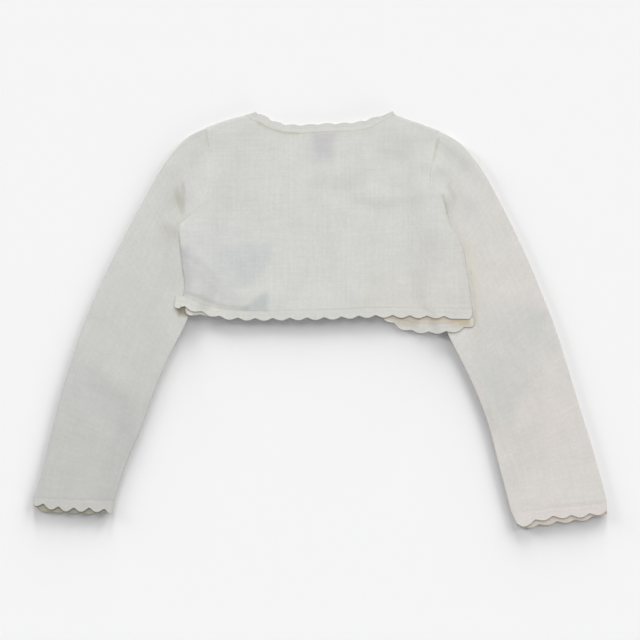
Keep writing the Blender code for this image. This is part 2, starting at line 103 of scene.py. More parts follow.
# ================================================================ plan of the sleeves
OUTER_FOLD_LEFT = [(-122.9, 205.2), (-140.4, 195.6), (-161.6, 173.4), (-182.0, 140.0),
                   (-206.9, 93.5), (-230.3, 46.7), (-251.7, -3.6), (-271.4, -62.4),
                   (-288.5, -125.6), (-300.3, -171.6), (-306.8, -189.8)]
UNDERARM_LEFT = [(-129.0, 85.2), (-130.2, 70.0), (-131.0, 54.0), (-131.8, 38.0), (-135.0, 20.0),
                 (-143.0, -3.0), (-156.3, -29.0), (-175.2, -72.0), (-191.6, -117.0),
                 (-207.8, -156.0), (-219.6, -192.5)]
OUTER_FOLD_RIGHT = [(127.2, 202.4), (150.2, 188.0), (171.1, 163.0), (191.7, 126.6), (215.4, 78.8),
                    (236.4, 29.6), (252.9, -13.2), (268.8, -65.6), (283.9, -113.8),
                    (298.0, -161.4), (306.4, -194.6)]
UNDERARM_RIGHT = [(122.4, 93.8), (121.8, 76.0), (121.6, 57.0), (122.2, 38.0), (125.2, 18.0),
                  (136.4, -15.0), (149.7, -41.5), (165.7, -75.3), (177.4, -105.0), (191.4, -157.0),
                  (204.0, -205.0)]
SLEEVE_START_LEFT = [(-122.9, 205.2), (-120.0, 186.4), (-118.5, 161.2), (-120.3, 140.0),
                     (-124.0, 120.0), (-127.3, 102.0), (-129.0, 85.2)]
SLEEVE_START_RIGHT = [(127.2, 202.4), (123.0, 182.3), (120.4, 163.3), (118.6, 148.0),
                      (119.8, 130.0), (121.6, 112.0), (122.4, 93.8)]
ARMHOLE_REACH = 1.6    # how far a sleeve's start reaches past its seam, under the body's edge
ARMHOLE_TUCK = 12.0    # length of sleeve over which that dies out
ARMHOLE_FADE = 0.3     # share of a sleeve's length over which the armhole's curve dies out
ARMHOLE_RISE = 11.0    # distance from its seam over which a sleeve rises to the back's level
ARMHOLE_STEP = 0.25    # how far it stays below that level
ARMHOLE_SINK = 7.0     # width over which it sinks again, under the body
ARMHOLE_NEAR = 0.01    # a ring that would get less than this share of that rise gets none
FOLD_POWER = 6         # how square a sleeve's section is: 2 is an ellipse
FLAT_SHARE = 0.9       # past this share of its full depth the underside is flat

# rise_starts and rise_full are how far up the body a tucked sleeve starts to lift it, and lifts it
# fully. inward is the way from the sleeve to the body: 1 is +X.
Sleeve = namedtuple("Sleeve", "hand outer underarm start rise_starts rise_full inward")
SLEEVES = [
    Sleeve("left", OUTER_FOLD_LEFT, UNDERARM_LEFT, SLEEVE_START_LEFT,
           rise_starts=182.0, rise_full=148.0, inward=1),
    Sleeve("right", OUTER_FOLD_RIGHT, UNDERARM_RIGHT, SLEEVE_START_RIGHT,
           rise_starts=194.0, rise_full=160.0, inward=-1),
]

# ================================================================ folds and creases
# line is the crest of a ridge, or the bottom of a trough where height is negative. At width from
# it, a third of the height is left.
Fold = namedtuple("Fold", "line width height")
CREASE_START = 4       # a crease dies out this many of its steps past its ends,
CREASE_POWER = 0.7     # and stays fuller up to them the lower this is
SLEEVE_FOLDS = [
    Fold(line=[(-137, 182), (-142, 158), (-141, 133)], width=7, height=1.2),
    Fold(line=[(-158, 160), (-163, 130), (-162, 104)], width=9, height=1.1),
    Fold(line=[(-257, -34), (-225, -60), (-192, -80)], width=14, height=0.9),
    Fold(line=[(-272, -80), (-246, -106), (-216, -139)], width=14, height=0.9),
    Fold(line=[(130, 192), (152, 177), (171, 157)], width=9, height=1.2),
    Fold(line=[(131, 164), (147, 150), (160, 128)], width=9, height=1.1),
    Fold(line=[(198, 21), (208, -20), (214, -64)], width=16, height=0.9),
]
BACK_FOLDS = [
    Fold(line=[(0, 158), (44, 160), (86, 150)], width=12, height=0.8),
    Fold(line=[(58, 132), (92, 130), (108, 138)], width=11, height=0.8),
    Fold(line=[(-124, 64), (-104, 42), (-86, 27)], width=9, height=0.8),
]
HEM_STANDS_UP = Fold(line=[(-74, 8), (-30, 7), (10, 7), (56, 9)], width=24, height=1.75)
BACK_CREASES = [
    Fold(line=[(-147, 86), (-124, 62), (-93, 30)], width=3.6, height=0.35),
    Fold(line=[(-113, 196), (-111.5, 160), (-114.5, 136), (-127, 119)], width=2.6, height=0.4),
    Fold(line=[(22, 139), (50, 152), (88, 176)], width=9, height=-0.45),
    Fold(line=[(28, 121), (75, 123), (122, 130)], width=6, height=-0.3),
    Fold(line=[(-100, 150), (-70, 140), (-52, 118)], width=14, height=0.3),
    Fold(line=[(118, 60), (140, 34), (148, 20)], width=8, height=0.35),
    Fold(line=[(20, 90), (40, 60), (80, 45)], width=16, height=0.3),
]
SLEEVE_CREASES = [
    Fold(line=[(-148, 150), (-150.5, 134), (-148.5, 114)], width=4.4, height=-0.7),
    Fold(line=[(-168, -20), (-183, -55), (-199, -90), (-212, -130), (-226, -170)],
         width=7, height=-0.5),
    Fold(line=[(-262, -48), (-240, -75), (-216, -96)], width=9, height=-0.5),
    Fold(line=[(-246, 5), (-216, 12), (-190, 24)], width=12, height=0.35),
    Fold(line=[(139, 144), (140, 137), (143, 130)], width=4, height=-0.35),
    Fold(line=[(182, -100), (187, -118), (190, -140)], width=3, height=-0.4),
    Fold(line=[(190, -98), (194, -118), (198, -138)], width=3.4, height=0.35),
    Fold(line=[(172, 30), (178, -6), (196, -34)], width=10, height=-0.45),
    Fold(line=[(232, -40), (250, -90), (268, -140)], width=12, height=0.4),
]
# The undersides are seen only when the shrug is turned over. They lie on the surface, and these
# soft creases stand up from it into the cloth.
SLEEVE_HIDDEN = [
    Fold(line=[(-150, 168), (-160, 128), (-158, 84)], width=7, height=0.45),
    Fold(line=[(-196, 84), (-176, 62), (-152, 46)], width=8, height=0.4),
    Fold(line=[(-252, -22), (-222, -34), (-184, -32)], width=9, height=0.5),
    Fold(line=[(-276, -92), (-240, -96), (-204, -88)], width=8, height=0.35),
    Fold(line=[(-290, -150), (-262, -128), (-222, -118)], width=7, height=0.3),
    Fold(line=[(146, 166), (162, 132), (160, 92)], width=8, height=0.45),
    Fold(line=[(152, 52), (182, 58), (214, 48)], width=8, height=0.4),
    Fold(line=[(160, -34), (194, -26), (238, -34)], width=9, height=0.5),
    Fold(line=[(186, -96), (222, -84), (262, -92)], width=8, height=0.35),
    Fold(line=[(204, -150), (240, -132), (286, -142)], width=7, height=0.3),
]
FRONT_HIDDEN = [
    Fold(line=[(-112, 178), (-92, 150), (-66, 128)], width=9, height=0.45),
    Fold(line=[(-138, 88), (-104, 84), (-62, 92)], width=10, height=0.5),
    Fold(line=[(-126, 52), (-98, 44), (-70, 52)], width=7, height=0.35),
    Fold(line=[(114, 176), (90, 150), (60, 130)], width=9, height=0.45),
    Fold(line=[(138, 88), (104, 80), (60, 90)], width=10, height=0.5),
    Fold(line=[(140, 44), (108, 34), (74, 40)], width=8, height=0.4),
]

# ================================================================ tints and painted shade
# The yarn's ivory is warmer or cooler from place to place, and a label that lies under the thin
# knit shows through it. Many tints are also painted shade, in folds, creases and hollows and along
# seams and edges, and a few are painted highlights. A tint covers the patch inside an outline,
# whose edge fades from soft inside it to soft outside it, or a streak along a line, which has a
# third left at soft. rgb is the share of red, green and blue that it leaves.
Patch = namedtuple("Patch", "rgb soft outline")
Streak = namedtuple("Streak", "rgb soft line")
UPPER_SIDE = 9.0       # a tint no softer than this is shade in a fold, and fades on sides that
FACES_DOWN = -0.5      # face down: it is gone where the height of the unit normal is this low
# painted light along the armhole seams: a painted highlight on the seam's pale ridge, and painted
# shade in its cracks
ARMHOLE_SHADE_AND_HIGHLIGHT = [
    Streak((1.025, 1.03, 1.02), 2.6, [(-118, 190), (-117, 176), (-117, 158), (-119, 142),
        (-126, 127), (-137, 114.5), (-150, 97)]),
    Streak((0.92, 0.92, 0.89), 1.3, [(-122.5, 200), (-120.8, 193), (-118.6, 186)]),
    Streak((0.88, 0.86, 0.8), 1.2, [(125.8, 193), (123.4, 182), (121.2, 170)]),
]
BODY_TONE_AND_SHADE = ARMHOLE_SHADE_AND_HIGHLIGHT + [
    # the neck label
    Patch((0.95, 0.94, 0.975), 4, [(-9, 201), (16, 201), (16, 165), (-9, 165)]),
    Patch((0.935, 0.935, 0.965), 6, [(-3, 196), (12, 196), (12, 172), (-3, 172)]),
    Patch((0.977, 0.975, 0.97), 5, [(-8, 198), (16, 198), (16, 169), (-8, 169)]),
    # the care label, and its end at the hem's seam
    Patch((0.94, 0.95, 0.985), 5, [(-112, 75), (-86, 82), (-51, 80), (-53, 65), (-60, 53),
        (-74, 37), (-90, 31), (-104, 44), (-116, 64)]),
    Patch((0.975, 0.975, 0.98), 9, [(-104, 70), (-62, 72), (-68, 50), (-84, 38)]),
    Patch((0.98, 0.98, 0.985), 5, [(-102, 77), (-56, 77), (-56, 36), (-102, 36)]),
    Patch((0.83, 0.865, 0.9), 3, [(-70, 21), (-63, 27), (-56, 29), (-56, 9), (-73, 9), (-84, 11)]),
    # painted shade along the neck's seam, below the edging's raised edge, and a painted highlight
    # on the edging at its left
    Streak((1.03, 1.02, 1.03), 3.5, [(-66, 219), (-50, 211), (-34, 207)]),
    Streak((0.9, 0.88, 0.82), 2, [(-66, 210), (-54, 204), (-42, 200), (-24, 199)]),
    Streak((0.975, 0.965, 0.95), 2.4, [(-30, 197), (10, 198.5), (50, 201.5), (62, 207)]),
    # the shoulders, and between them
    Patch((0.965, 0.96, 0.965), 26, [(-124, 210), (-78, 222), (-60, 190), (-70, 140), (-118, 130)]),
    Patch((0.965, 0.96, 0.96), 26, [(80, 222), (128, 205), (122, 160), (96, 130), (60, 170)]),
    Patch((1.015, 1.015, 1.015), 26, [(-80, 190), (-20, 190), (-20, 150), (-80, 140)]),
    # painted shade in the folds of the back, and a painted highlight on one of its ridges
    Streak((0.97, 0.96, 0.965), 6, [(-10, 147), (18, 143), (44, 145)]),
    Streak((0.96, 0.945, 0.94), 4, [(66, 181), (78, 178), (90, 173)]),
    Streak((0.97, 0.965, 0.96), 6, [(42, 127), (75, 122), (102, 124), (132, 131)]),
    Patch((1.02, 1.02, 1.015), 11, [(48, 146), (96, 168), (122, 152), (112, 136), (60, 134)]),
    Streak((0.985, 0.985, 0.99), 7, [(-8, 134), (1, 106), (6, 84), (14, 56)]),
    # the left side, where the front and the sleeve lie below it: lilac tints, and painted shade
    # along its creases and its edge
    Patch((0.99, 0.98, 1.01), 8, [(-149, 92), (-122, 118), (-98, 106), (-84, 84), (-114, 76),
        (-119, 60), (-142, 56)]),
    Patch((0.975, 0.965, 0.975), 12, [(-96, 128), (-70, 128), (-60, 106), (-84, 98)]),
    Patch((0.98, 0.973, 0.998), 8, [(-150, 74), (-136, 76), (-118, 58), (-92, 28), (-88, 16),
        (-144, 22)]),
    Streak((0.94, 0.94, 0.95), 3.4, [(-148, 76), (-142, 69), (-131, 62)]),
    Streak((0.955, 0.95, 0.965), 4, [(-136, 54), (-118, 38), (-102, 24)]),
    Streak((0.86, 0.865, 0.885), 4.5, [(-147, 72), (-144, 60), (-142, 46), (-142, 34)]),
    # painted shade along the hem's left corner, and the edging lighter below it
    Streak((0.84, 0.83, 0.83), 2.6, [(-151, 29.5), (-141, 28), (-125.4, 22.6), (-110, 16.8),
        (-95, 13.4), (-78, 12)]),
    Patch((1.02, 1.02, 1.0), 4, [(-156, 24), (-120, 13), (-100, 9), (-100, 2), (-156, 12)]),
    # the right side, where the front and the sleeve lie below it: warmer tones, painted shade along
    # its edge, and painted highlights near the hem
    Patch((0.985, 0.98, 0.985), 22, [(100, 110), (130, 100), (140, 60), (110, 50)]),
    Patch((0.98, 0.955, 0.955), 12, [(96, 88), (128, 96), (138, 58), (104, 40)]),
    Patch((1.012, 0.99, 0.99), 14, [(48, 44), (150, 50), (160, 2), (48, 2)]),
    Streak((0.985, 0.965, 0.955), 8, [(146, 80), (151, 56), (154, 16)]),
    Streak((0.97, 0.955, 0.945), 2.4, [(132, 118), (140, 100), (150, 80), (155, 58)]),
    Streak((1.035, 1.035, 1.03), 2, [(77, 12.4), (110, 12.2), (160, 11.8)]),
    Streak((1.02, 1.015, 1.01), 5, [(108, 0), (112, 20), (118, 44)]),
    Streak((1.045, 1.045, 1.04), 5, [(115, 0), (117, 8), (118, 20)]),
]
SLEEVE_TONE_AND_SHADE = ARMHOLE_SHADE_AND_HIGHLIGHT + [
    # the left sleeve as a whole
    Patch((0.945, 0.94, 0.94), 60, [(-290, 90), (-110, 90), (-110, -260), (-380, -260)]),
    Patch((0.89, 0.89, 0.895), 60, [(-340, -70), (-140, -70), (-140, -290), (-380, -290)]),
    Patch((0.95, 0.95, 0.95), 14, [(-150, 205), (-118, 210), (-116, 170), (-150, 160)]),
    Patch((0.965, 0.96, 0.965), 24, [(-180, 175), (-140, 175), (-135, 90), (-200, 90)]),
    Patch((0.965, 0.96, 0.965), 30, [(-262, 20), (-180, 20), (-170, -60), (-262, -60)]),
    Patch((1.015, 1.015, 1.015), 24, [(-290, -106), (-212, -106), (-220, -140), (-296, -140)]),
    # painted shade in its folds
    Patch((0.955, 0.955, 0.98), 10, [(-274, -36), (-240, -60), (-206, -82), (-192, -102),
        (-200, -132), (-224, -116), (-252, -92), (-278, -66)]),
    Streak((0.965, 0.96, 0.98), 12, [(-208, -122), (-220, -150), (-228, -190)]),
    Streak((0.975, 0.965, 0.965), 9, [(-166, 96), (-163, 66), (-160, 40)]),
    # painted shade in its crease at the underarm, and a painted highlight on the cloth next to that
    Streak((0.915, 0.91, 0.89), 2, [(-146.4, 146), (-145.6, 134), (-145.8, 122), (-147, 112)]),
    Streak((0.93, 0.92, 0.9), 3, [(-154.5, 139), (-153.5, 131), (-150.5, 124)]),
    Streak((0.89, 0.885, 0.85), 4, [(-151.5, 131), (-150, 126), (-148.5, 119)]),
    Patch((0.95, 0.945, 0.93), 3, [(-155, 142), (-145.5, 144), (-145.5, 112), (-151, 114)]),
    Streak((0.96, 0.955, 0.945), 8, [(-159, 134), (-159, 122), (-156, 110)]),
    Streak((1.03, 1.02, 1.015), 8, [(-176, 97), (-166, 95), (-157, 93)]),
    Patch((1.005, 0.99, 1.015), 4, [(-146, 184), (-128, 186), (-124, 150), (-129, 126), (-141, 116),
        (-145, 134)]),
    # painted shade in the hollow below the hem's left corner
    Patch((0.5, 0.47, 0.38), 3, [(-154, 13), (-138, 15), (-137, 8), (-142, 4), (-151, 4)]),
    # painted shade where both outer folds turn down
    Streak((0.93, 0.93, 0.945), 3.6, [(-122, 206), (-142, 197), (-163, 175), (-184, 142),
        (-209, 96), (-232, 49)]),
    Streak((0.94, 0.94, 0.955), 3.6, [(-232, 48), (-253, -3), (-273, -62), (-290, -125),
        (-302, -172)]),
    Streak((0.96, 0.955, 0.95), 3, [(127, 203), (151, 189), (173, 164), (194, 128), (219, 80),
        (240, 31)]),
    # the right sleeve as a whole
    Patch((1.04, 1.0, 1.005), 34, [(178, 180), (280, 170), (330, -230), (190, -230), (110, 60),
        (140, 112)]),
    Patch((1.02, 1.025, 1.025), 30, [(200, -80), (290, -80), (310, -230), (200, -230)]),
    Patch((0.99, 0.985, 0.985), 30, [(180, 40), (250, 60), (290, -90), (250, -150), (150, -100)]),
    Patch((0.985, 0.965, 0.965), 50, [(130, -60), (350, -60), (350, -280), (130, -280)]),
    # painted shade in its folds and cracks, and a painted highlight beside them
    Patch((0.93, 0.955, 0.955), 14, [(172, 6), (214, 12), (240, 6), (230, -60), (206, -104),
        (186, -90), (170, -34)]),
    Patch((0.95, 0.965, 0.97), 9, [(222, 14), (256, 2), (252, -34), (222, -22)]),
    Streak((0.94, 0.97, 0.97), 12, [(172, -52), (186, -80), (196, -104)]),
    Streak((0.93, 0.93, 0.935), 3.5, [(179, -97), (183, -108), (186, -118)]),
    Patch((0.965, 0.97, 0.965), 14, [(196, -112), (236, -110), (244, -160), (206, -176)]),
    Streak((0.935, 0.93, 0.92), 8, [(129, 187), (142, 178), (154, 167)]),
    Streak((1.02, 1.015, 1.015), 8, [(122, 160), (140, 152)]),
    Streak((0.9, 0.87, 0.84), 3.6, [(137, 143), (140, 137), (143, 131)]),
    Streak((0.86, 0.84, 0.79), 1.8, [(131, 133), (132.6, 124), (134.6, 113)]),
    # its underarm fold, and painted shade in the hollow beside the body
    Streak((1.0, 0.99, 0.95), 5, [(158, 84), (164, 60), (167, 36), (170, 16)]),
    Streak((0.93, 0.925, 0.9), 2.4, [(134, 122), (141, 104), (149, 89), (156, 70), (160, 50)]),
    Streak((0.88, 0.87, 0.83), 2.2, [(160, 50), (163, 30), (165.5, 6), (165, -4)]),
    Streak((0.96, 0.95, 0.92), 3.5, [(165, 0), (168, -8), (167, -16)]),
    Streak((0.93, 0.925, 0.9), 1.6, [(164.5, 12), (165, 2), (165.5, -6)]),
    # the right cuff's seam
    Streak((0.95, 0.95, 0.94), 1.2, [(215, -196.5), (240, -199), (262, -197), (300, -195)]),
]
FRONT_TONE_AND_SHADE = [
    # the right front, whose hem shows below the back: warmer tones, painted shade where the back's
    # hem shades it, and a painted highlight along the gap under the back's scallops
    Patch((0.985, 0.96, 0.95), 3, [(66, 24), (66, -24), (180, -24), (180, 24)]),
    Streak((0.93, 0.86, 0.77), 3.6, [(72, 4), (100, 1), (130, 0), (158, 0)]),
    Patch((0.87, 0.845, 0.81), 3, [(74, 4), (78, -6), (104, -8), (106, 1)]),
    Patch((1.0, 0.955, 0.91), 3, [(70, 8), (110, -2), (150, -3), (160, -2), (160, 8)]),
    Patch((0.95, 0.92, 0.84), 3, [(138, -1), (140, -8), (159, -8), (159, -1)]),
    Streak((0.89, 0.88, 0.81), 2.4, [(151, -5.5), (159, -4.5)]),
    Streak((1.17, 1.15, 1.1), 2, [(138, 0.4), (160, 0.4)]),
    # painted shade in the left front's corner
    Patch((0.8, 0.79, 0.74), 3, [(-146, 17), (-141, 17), (-140, 5), (-146, 5)]),
    Streak((0.88, 0.87, 0.8), 2, [(-138, 12), (-126, 10.5), (-112, 9)]),
    Streak((0.8, 0.8, 0.76), 1.4, [(-136, 7), (-134, 4), (-131, 3)]),
]

# ================================================================ edging
# height is from the seam to a notch, depth is how far a scallop stands out past the notch,
# first is the distance from the seam's start to the first notch, and pitch that between notches.
# start and end are the shares of its width that the edging keeps at its two ends, roll is how
# far it stands up next to its seam, lean how far its start slants forward, and plain the length
# at its start that has no notches. Each seam runs with its edging on its left: the neck's from
# the left, the hem's from the right, the right front's from its side seam and the left front's
# from the neck.
Edging = namedtuple("Edging", "height depth first pitch start end roll lean plain",
                    defaults=(0, 0))
NECK_EDGING = Edging(8.3, 1.6, first=10.0, pitch=18.2, start=1.05, end=0.42, roll=0.3, lean=4.5)
HEM_EDGING = Edging(7.7, 2.9, first=11.4, pitch=18.34, start=1.0, end=1.27, roll=0.08,
                    plain=16.0)
FRONT_EDGING_LEFT = Edging(7.8, 2.6, first=7.0, pitch=17.8, start=0.12, end=1.0, roll=0.1)
FRONT_EDGING_RIGHT = Edging(7.8, 2.6, first=12.2, pitch=17.5, start=1.0, end=0.5, roll=0.1)
NARROWING = 32.0       # length over which an edging narrows, or widens, at an end
END_ROUND = 4.0        # where it ends at full width, its corner is rounded over this length,
END_WIDTH = 0.5        # and has this share of its width left at its very end
HEM_OVERHANG = (-153.8, 25.6)   # the back's hem edging runs out past the side seam to here
SCALLOP_ROUND = 0.65   # 1 makes notches as wide as scallops, and less makes them narrower
EDGING_CURLS = [
    Fold(line=[(-143, 10), (-140.5, 6), (-137, 5), (-134.5, 8)], width=1.7, height=1.7),
    Fold(line=[(-131, 9), (-127, 5.5), (-122, 7)], width=2.2, height=0.5),
]

# edge is the line of the upper layer's tips, from the outer fold to the underarm fold. lower is how
# far the lower layer reaches past it, at even shares of its length, and the last field is the
# painted shade of the cuff's inside, which the upper layer shades. notch and lower_notch are how
# deep the notches of the two layers go. pitch and the places of their first notches are shares of
# the cuff's width.
Cuff = namedtuple("Cuff", "edge lower notch lower_notch pitch upper_first lower_first lining")
CUFFS = {
    "left": Cuff(
        edge=[(-306.9, -198.3), (-289, -202.8), (-272.1, -205.1), (-255.1, -205.5),
              (-239, -205.7), (-229.1, -207.1), (-224.3, -207.7), (-221.8, -205.2)],
        lower=[0.8, 4.8, 4.2, 2.8, 2.2, 2.0, 2.6, 3.2, 2.0, -1.0, -1.0],
        notch=4.6, lower_notch=1.3, pitch=0.188, upper_first=0.13, lower_first=0.035,
        lining=(0.64, 0.62, 0.51)),
    "right": Cuff(
        edge=[(307.0, -207.6), (280, -211.4), (240, -214.4), (222, -220), (215, -222.9),
              (210.8, -221)],
        lower=[1.0, 2.7, 3.8, 4.6, 5.2, 5.8, 6.4, 6.4, 5.2, 2.6, 0.6],
        notch=3.4, lower_notch=2.8, pitch=0.197, upper_first=0.19, lower_first=0.16,
        lining=(0.9, 0.86, 0.79)),
}

Tape = namedtuple("Tape", "first last width")
NECK_LABEL = Tape(first=(3.6, 200.2), last=(3.6, 168.0), width=28.0)
CARE_LABEL = Tape(first=(-73.0, 12.5), last=(-77.5, 82.0), width=42.0)

# ================================================================ mesh steps
FINER = 6                      # fine steps to one step of the solids
BACK_COLUMNS = (5, 18, 5)      # steps of the solids: shoulder, neck, shoulder
SIDE_ROWS = 8
ARMHOLE_ROWS = 10
FRONT_COLUMNS = 9
SLEEVE_ROWS = 176
SLEEVE_ACROSS = 52
FOLD_FINER = 4                 # steps of a sleeve's fold lines to one row of it
EDGING_STEPS = 16              # fine steps along one scallop
CUFF_STEPS = 22.4              # and on a cuff, where they crowd towards its two folds
EDGING_ACROSS = 12             # steps from the seam to the free edge
SEAM_STEPS = 400               # places along a seam where the linking's height is worked out
CUFF_SEAM_STEPS = 60
SEAM_ENDS = 0.004              # share of a seam at each end that has no linking
CUFF_SEAM_ENDS = 0.02
LABEL_STEPS = 30
CURVE_STEPS = 600              # of a curve before it is divided evenly
MEASURED_STEPS = 200           # points of a line that distances are measured to
FOLD_STEPS = 60                # steps along a fold or a streak
CREASE_STEPS = 80              # and along a crease
CHUNK = 4000                   # places measured at one time, to save memory
TURN = 2 * math.pi
RIM = (0.12, 0.4, 1.0)         # lines near a rounded edge, as shares of its radius


# ================================================================ curves in the plan
def lengths_along(points):
    """Distance of each point from the first, along the line through them."""
    steps = np.linalg.norm(np.diff(points, axis=0), axis=1)
    return np.concatenate([[0.0], np.cumsum(steps)])


def along(points, fractions):
    """Points at the given fractions of a line's length."""
    points = np.asarray(points, float)
    lengths = lengths_along(points) / lengths_along(points)[-1]
    return np.stack([np.interp(fractions, lengths, points[:, axis]) for axis in (0, 1)], axis=-1)


def smooth(points, steps):
    """A soft curve through the points, as steps + 1 points at even distances."""
    points = np.asarray(points, float)
    knots = lengths_along(points)
    slopes = np.gradient(points, knots, axis=0)
    at = np.linspace(0, knots[-1], CURVE_STEPS)
    first = np.clip(np.searchsorted(knots, at, side="right") - 1, 0, len(knots) - 2)
    span = knots[first + 1] - knots[first]
    s = ((at - knots[first]) / span)[:, None]
    span = span[:, None]
    curve = (points[first] * (2 * s**3 - 3 * s**2 + 1)
             + slopes[first] * span * (s**3 - 2 * s**2 + s)
             + points[first + 1] * (3 * s**2 - 2 * s**3)
             + slopes[first + 1] * span * (s**3 - s**2))
    return along(curve, np.linspace(0, 1, steps + 1))


def joined(*curves):
    """Curves that meet end to end, as one line."""
    return np.concatenate([curves[0]] + [curve[1:] for curve in curves[1:]])


def normals_left(points):
    """Unit vectors to the left of a line's direction."""
    tangents = np.gradient(points, axis=0)
    tangents /= np.linalg.norm(tangents, axis=-1)[..., None]
    return np.stack([-tangents[..., 1], tangents[..., 0]], axis=-1)


def nearest_on(line, places):
    """For each place, the index of the line's nearest point, and the offset from it."""
    flat = places.reshape(-1, 2)
    nearest = np.empty(len(flat), int)
    for start in range(0, len(flat), CHUNK):
        part = flat[start:start + CHUNK, None] - line
        nearest[start:start + CHUNK] = np.argmin(np.sum(part**2, axis=-1), axis=-1)
    offset = flat - line[nearest]
    return nearest.reshape(places.shape[:-1]), offset.reshape(places.shape)


def side_distance(line, places):
    """Distance of places from a line, positive on its left."""
    line = along(line, np.linspace(0, 1, MEASURED_STEPS))
    nearest, offset = nearest_on(line, places)
    side = np.sum(offset * normals_left(line)[nearest], axis=-1)
    return np.copysign(np.linalg.norm(offset, axis=-1), side)


def distance_to(lines, places):
    """Distance of places from the nearest of several lines."""
    return np.min([np.abs(side_distance(line, places)) for line in lines], axis=0)


def nearness(line, places, width):
    """1 on a line, a third at width from it, and less beyond."""
    offset = nearest_on(line, places)[1]
    return np.exp(-np.sum(offset**2, axis=-1) / width**2)


def ease(share):
    """0 up to 0, 1 from 1, and a soft S between."""
    share = np.clip(share, 0, 1)
    return share * share * (3 - 2 * share)


def patch(bottom, top, left, right):
    """A grid of plan points inside four edges: bottom and top run to +X, left and right up."""
    across = np.linspace(0, 1, len(bottom))[:, None, None]
    up = np.linspace(0, 1, len(left))[None, :, None]
    between_rows = (1 - up) * bottom[:, None] + up * top[:, None]
    between_sides = (1 - across) * left[None] + across * right[None]
    corners = ((1 - across) * (1 - up) * bottom[0] + across * (1 - up) * bottom[-1]
               + (1 - across) * up * top[0] + across * up * top[-1])
    return between_rows + between_sides - corners


# ================================================================ edges that pieces share
def edge_points():
    """The panels' edges, sampled once, so that each seam has one line for both its pieces."""
    edges = {
        "neck": smooth(NECK, BACK_COLUMNS[1] * FINER),
        "hem": smooth(HEM_BACK, sum(BACK_COLUMNS) * FINER),
        "shoulder_left": smooth(SHOULDER_LEFT, BACK_COLUMNS[0] * FINER),
        "shoulder_right": smooth(SHOULDER_RIGHT, BACK_COLUMNS[2] * FINER),
    }
    rows = SIDE_ROWS + ARMHOLE_ROWS
    for hand, side, front_side, armhole, cut in (
            ("left", SIDE_LEFT, FRONT_SIDE_LEFT, ARMHOLE_LEFT, FRONT_CUT_LEFT),
            ("right", SIDE_RIGHT, FRONT_SIDE_RIGHT, ARMHOLE_RIGHT, FRONT_CUT_RIGHT)):
        upper = smooth(armhole, ARMHOLE_ROWS * FINER)
        edges["side_" + hand] = joined(smooth(side, SIDE_ROWS * FINER), upper)
        edges["front_side_" + hand] = joined(smooth(front_side, SIDE_ROWS * FINER), upper)
        edges["cut_" + hand] = smooth(cut, (FRONT_COLUMNS + rows) * FINER)
    return edges


EDGES = edge_points()
CLOSED_SEAMS = (EDGES["side_left"], EDGES["side_right"],
                EDGES["shoulder_left"], EDGES["shoulder_right"])
SIDE_POINTS = SIDE_ROWS * FINER + 1     # of a side's points, those below its armhole
TURNED_SEAMS = (EDGES["side_left"][:SIDE_POINTS], EDGES["side_right"][:SIDE_POINTS],
                EDGES["shoulder_left"], EDGES["shoulder_right"])


# ================================================================ heights of the layers
def lift(places):
    """How far the tucked sleeves raise the body at these places."""
    height = np.zeros(places.shape[:-1])
    for sleeve in SLEEVES:
        tucked = joined(sleeve.start, sleeve.underarm)
        inside = sleeve.inward * side_distance(tucked, places)
        ramp = TUCK_RAMP_HEM + (TUCK_RAMP - TUCK_RAMP_HEM) * ease(places[..., 1] / TUCK_WIDENS)
        reach = ease((TUCK_MARGIN + ramp - inside) / ramp)
        rise = sleeve.rise_starts - sleeve.rise_full
        below = ease((sleeve.rise_starts - places[..., 1]) / rise)
        height = np.maximum(height, TUCK_LIFT * reach * below)
    return height


def front_cover(places):
    """1 where a front or its edging lies below the back, and 0 where none does."""
    level = FRONT_EDGING_LEFT.height + FRONT_EDGING_LEFT.depth + FRONT_MARGIN
    cover = np.zeros(places.shape[:-1])
    for cut, outward in ((EDGES["cut_left"], -1), (EDGES["cut_right"], 1)):
        past = outward * side_distance(cut, places)
        cover = np.maximum(cover, ease((level + FRONT_RAMP - past) / FRONT_RAMP))
    return cover


def room_inside(places):
    """Room between back and front: a seam's gap at the seams, and slack away from them."""
    from_hem = side_distance(EDGES["hem"], places)
    laid_down = HEM_LIES_DOWN * (1 - ease(from_hem / SLACK_REACH))
    away = distance_to(CLOSED_SEAMS, places)
    return SEAM_GAP + (SLACK - laid_down) * ease(away / SLACK_REACH)


def folded(places, folds):
    """Height that full folds add: each keeps its height up to its ends."""
    height = np.zeros(places.shape[:-1])
    for fold in folds:
        crest = smooth(fold.line, FOLD_STEPS)
        height += fold.height * np.exp(-(side_distance(crest, places) / fold.width)**2)
    return height


def creased(places, creases):
    """Height that creases add: each dies out towards its ends."""
    height = np.zeros(places.shape[:-1])
    for crease in creases:
        crest = smooth(crease.line, CREASE_STEPS)
        at = (nearest_on(crest, places)[0] + CREASE_START) / (CREASE_STEPS + 2 * CREASE_START)
        fading = np.sin(math.pi * at)**CREASE_POWER
        height += crease.height * fading * nearness(crest, places, crease.width)
    return height


def front_height(places):
    """Underside of the front and its edging."""
    return lift(places) + creased(places, FRONT_HIDDEN)


def back_height(places):
    """Underside of the back and its edging."""
    flat = lift(places) + CLOTH * front_cover(places) + room_inside(places)
    flat -= edge_drop(places)
    return flat + folded(places, BACK_FOLDS) + creased(places, BACK_CREASES + [HEM_STANDS_UP])


def edge_drop(places):
    """How far the back turns down at a side or shoulder seam, to meet the front's edge."""
    away = distance_to(TURNED_SEAMS, places)
    return (SEAM_GAP + CLOTH / 2) * np.exp(-(away / EDGE_TURN)**2)


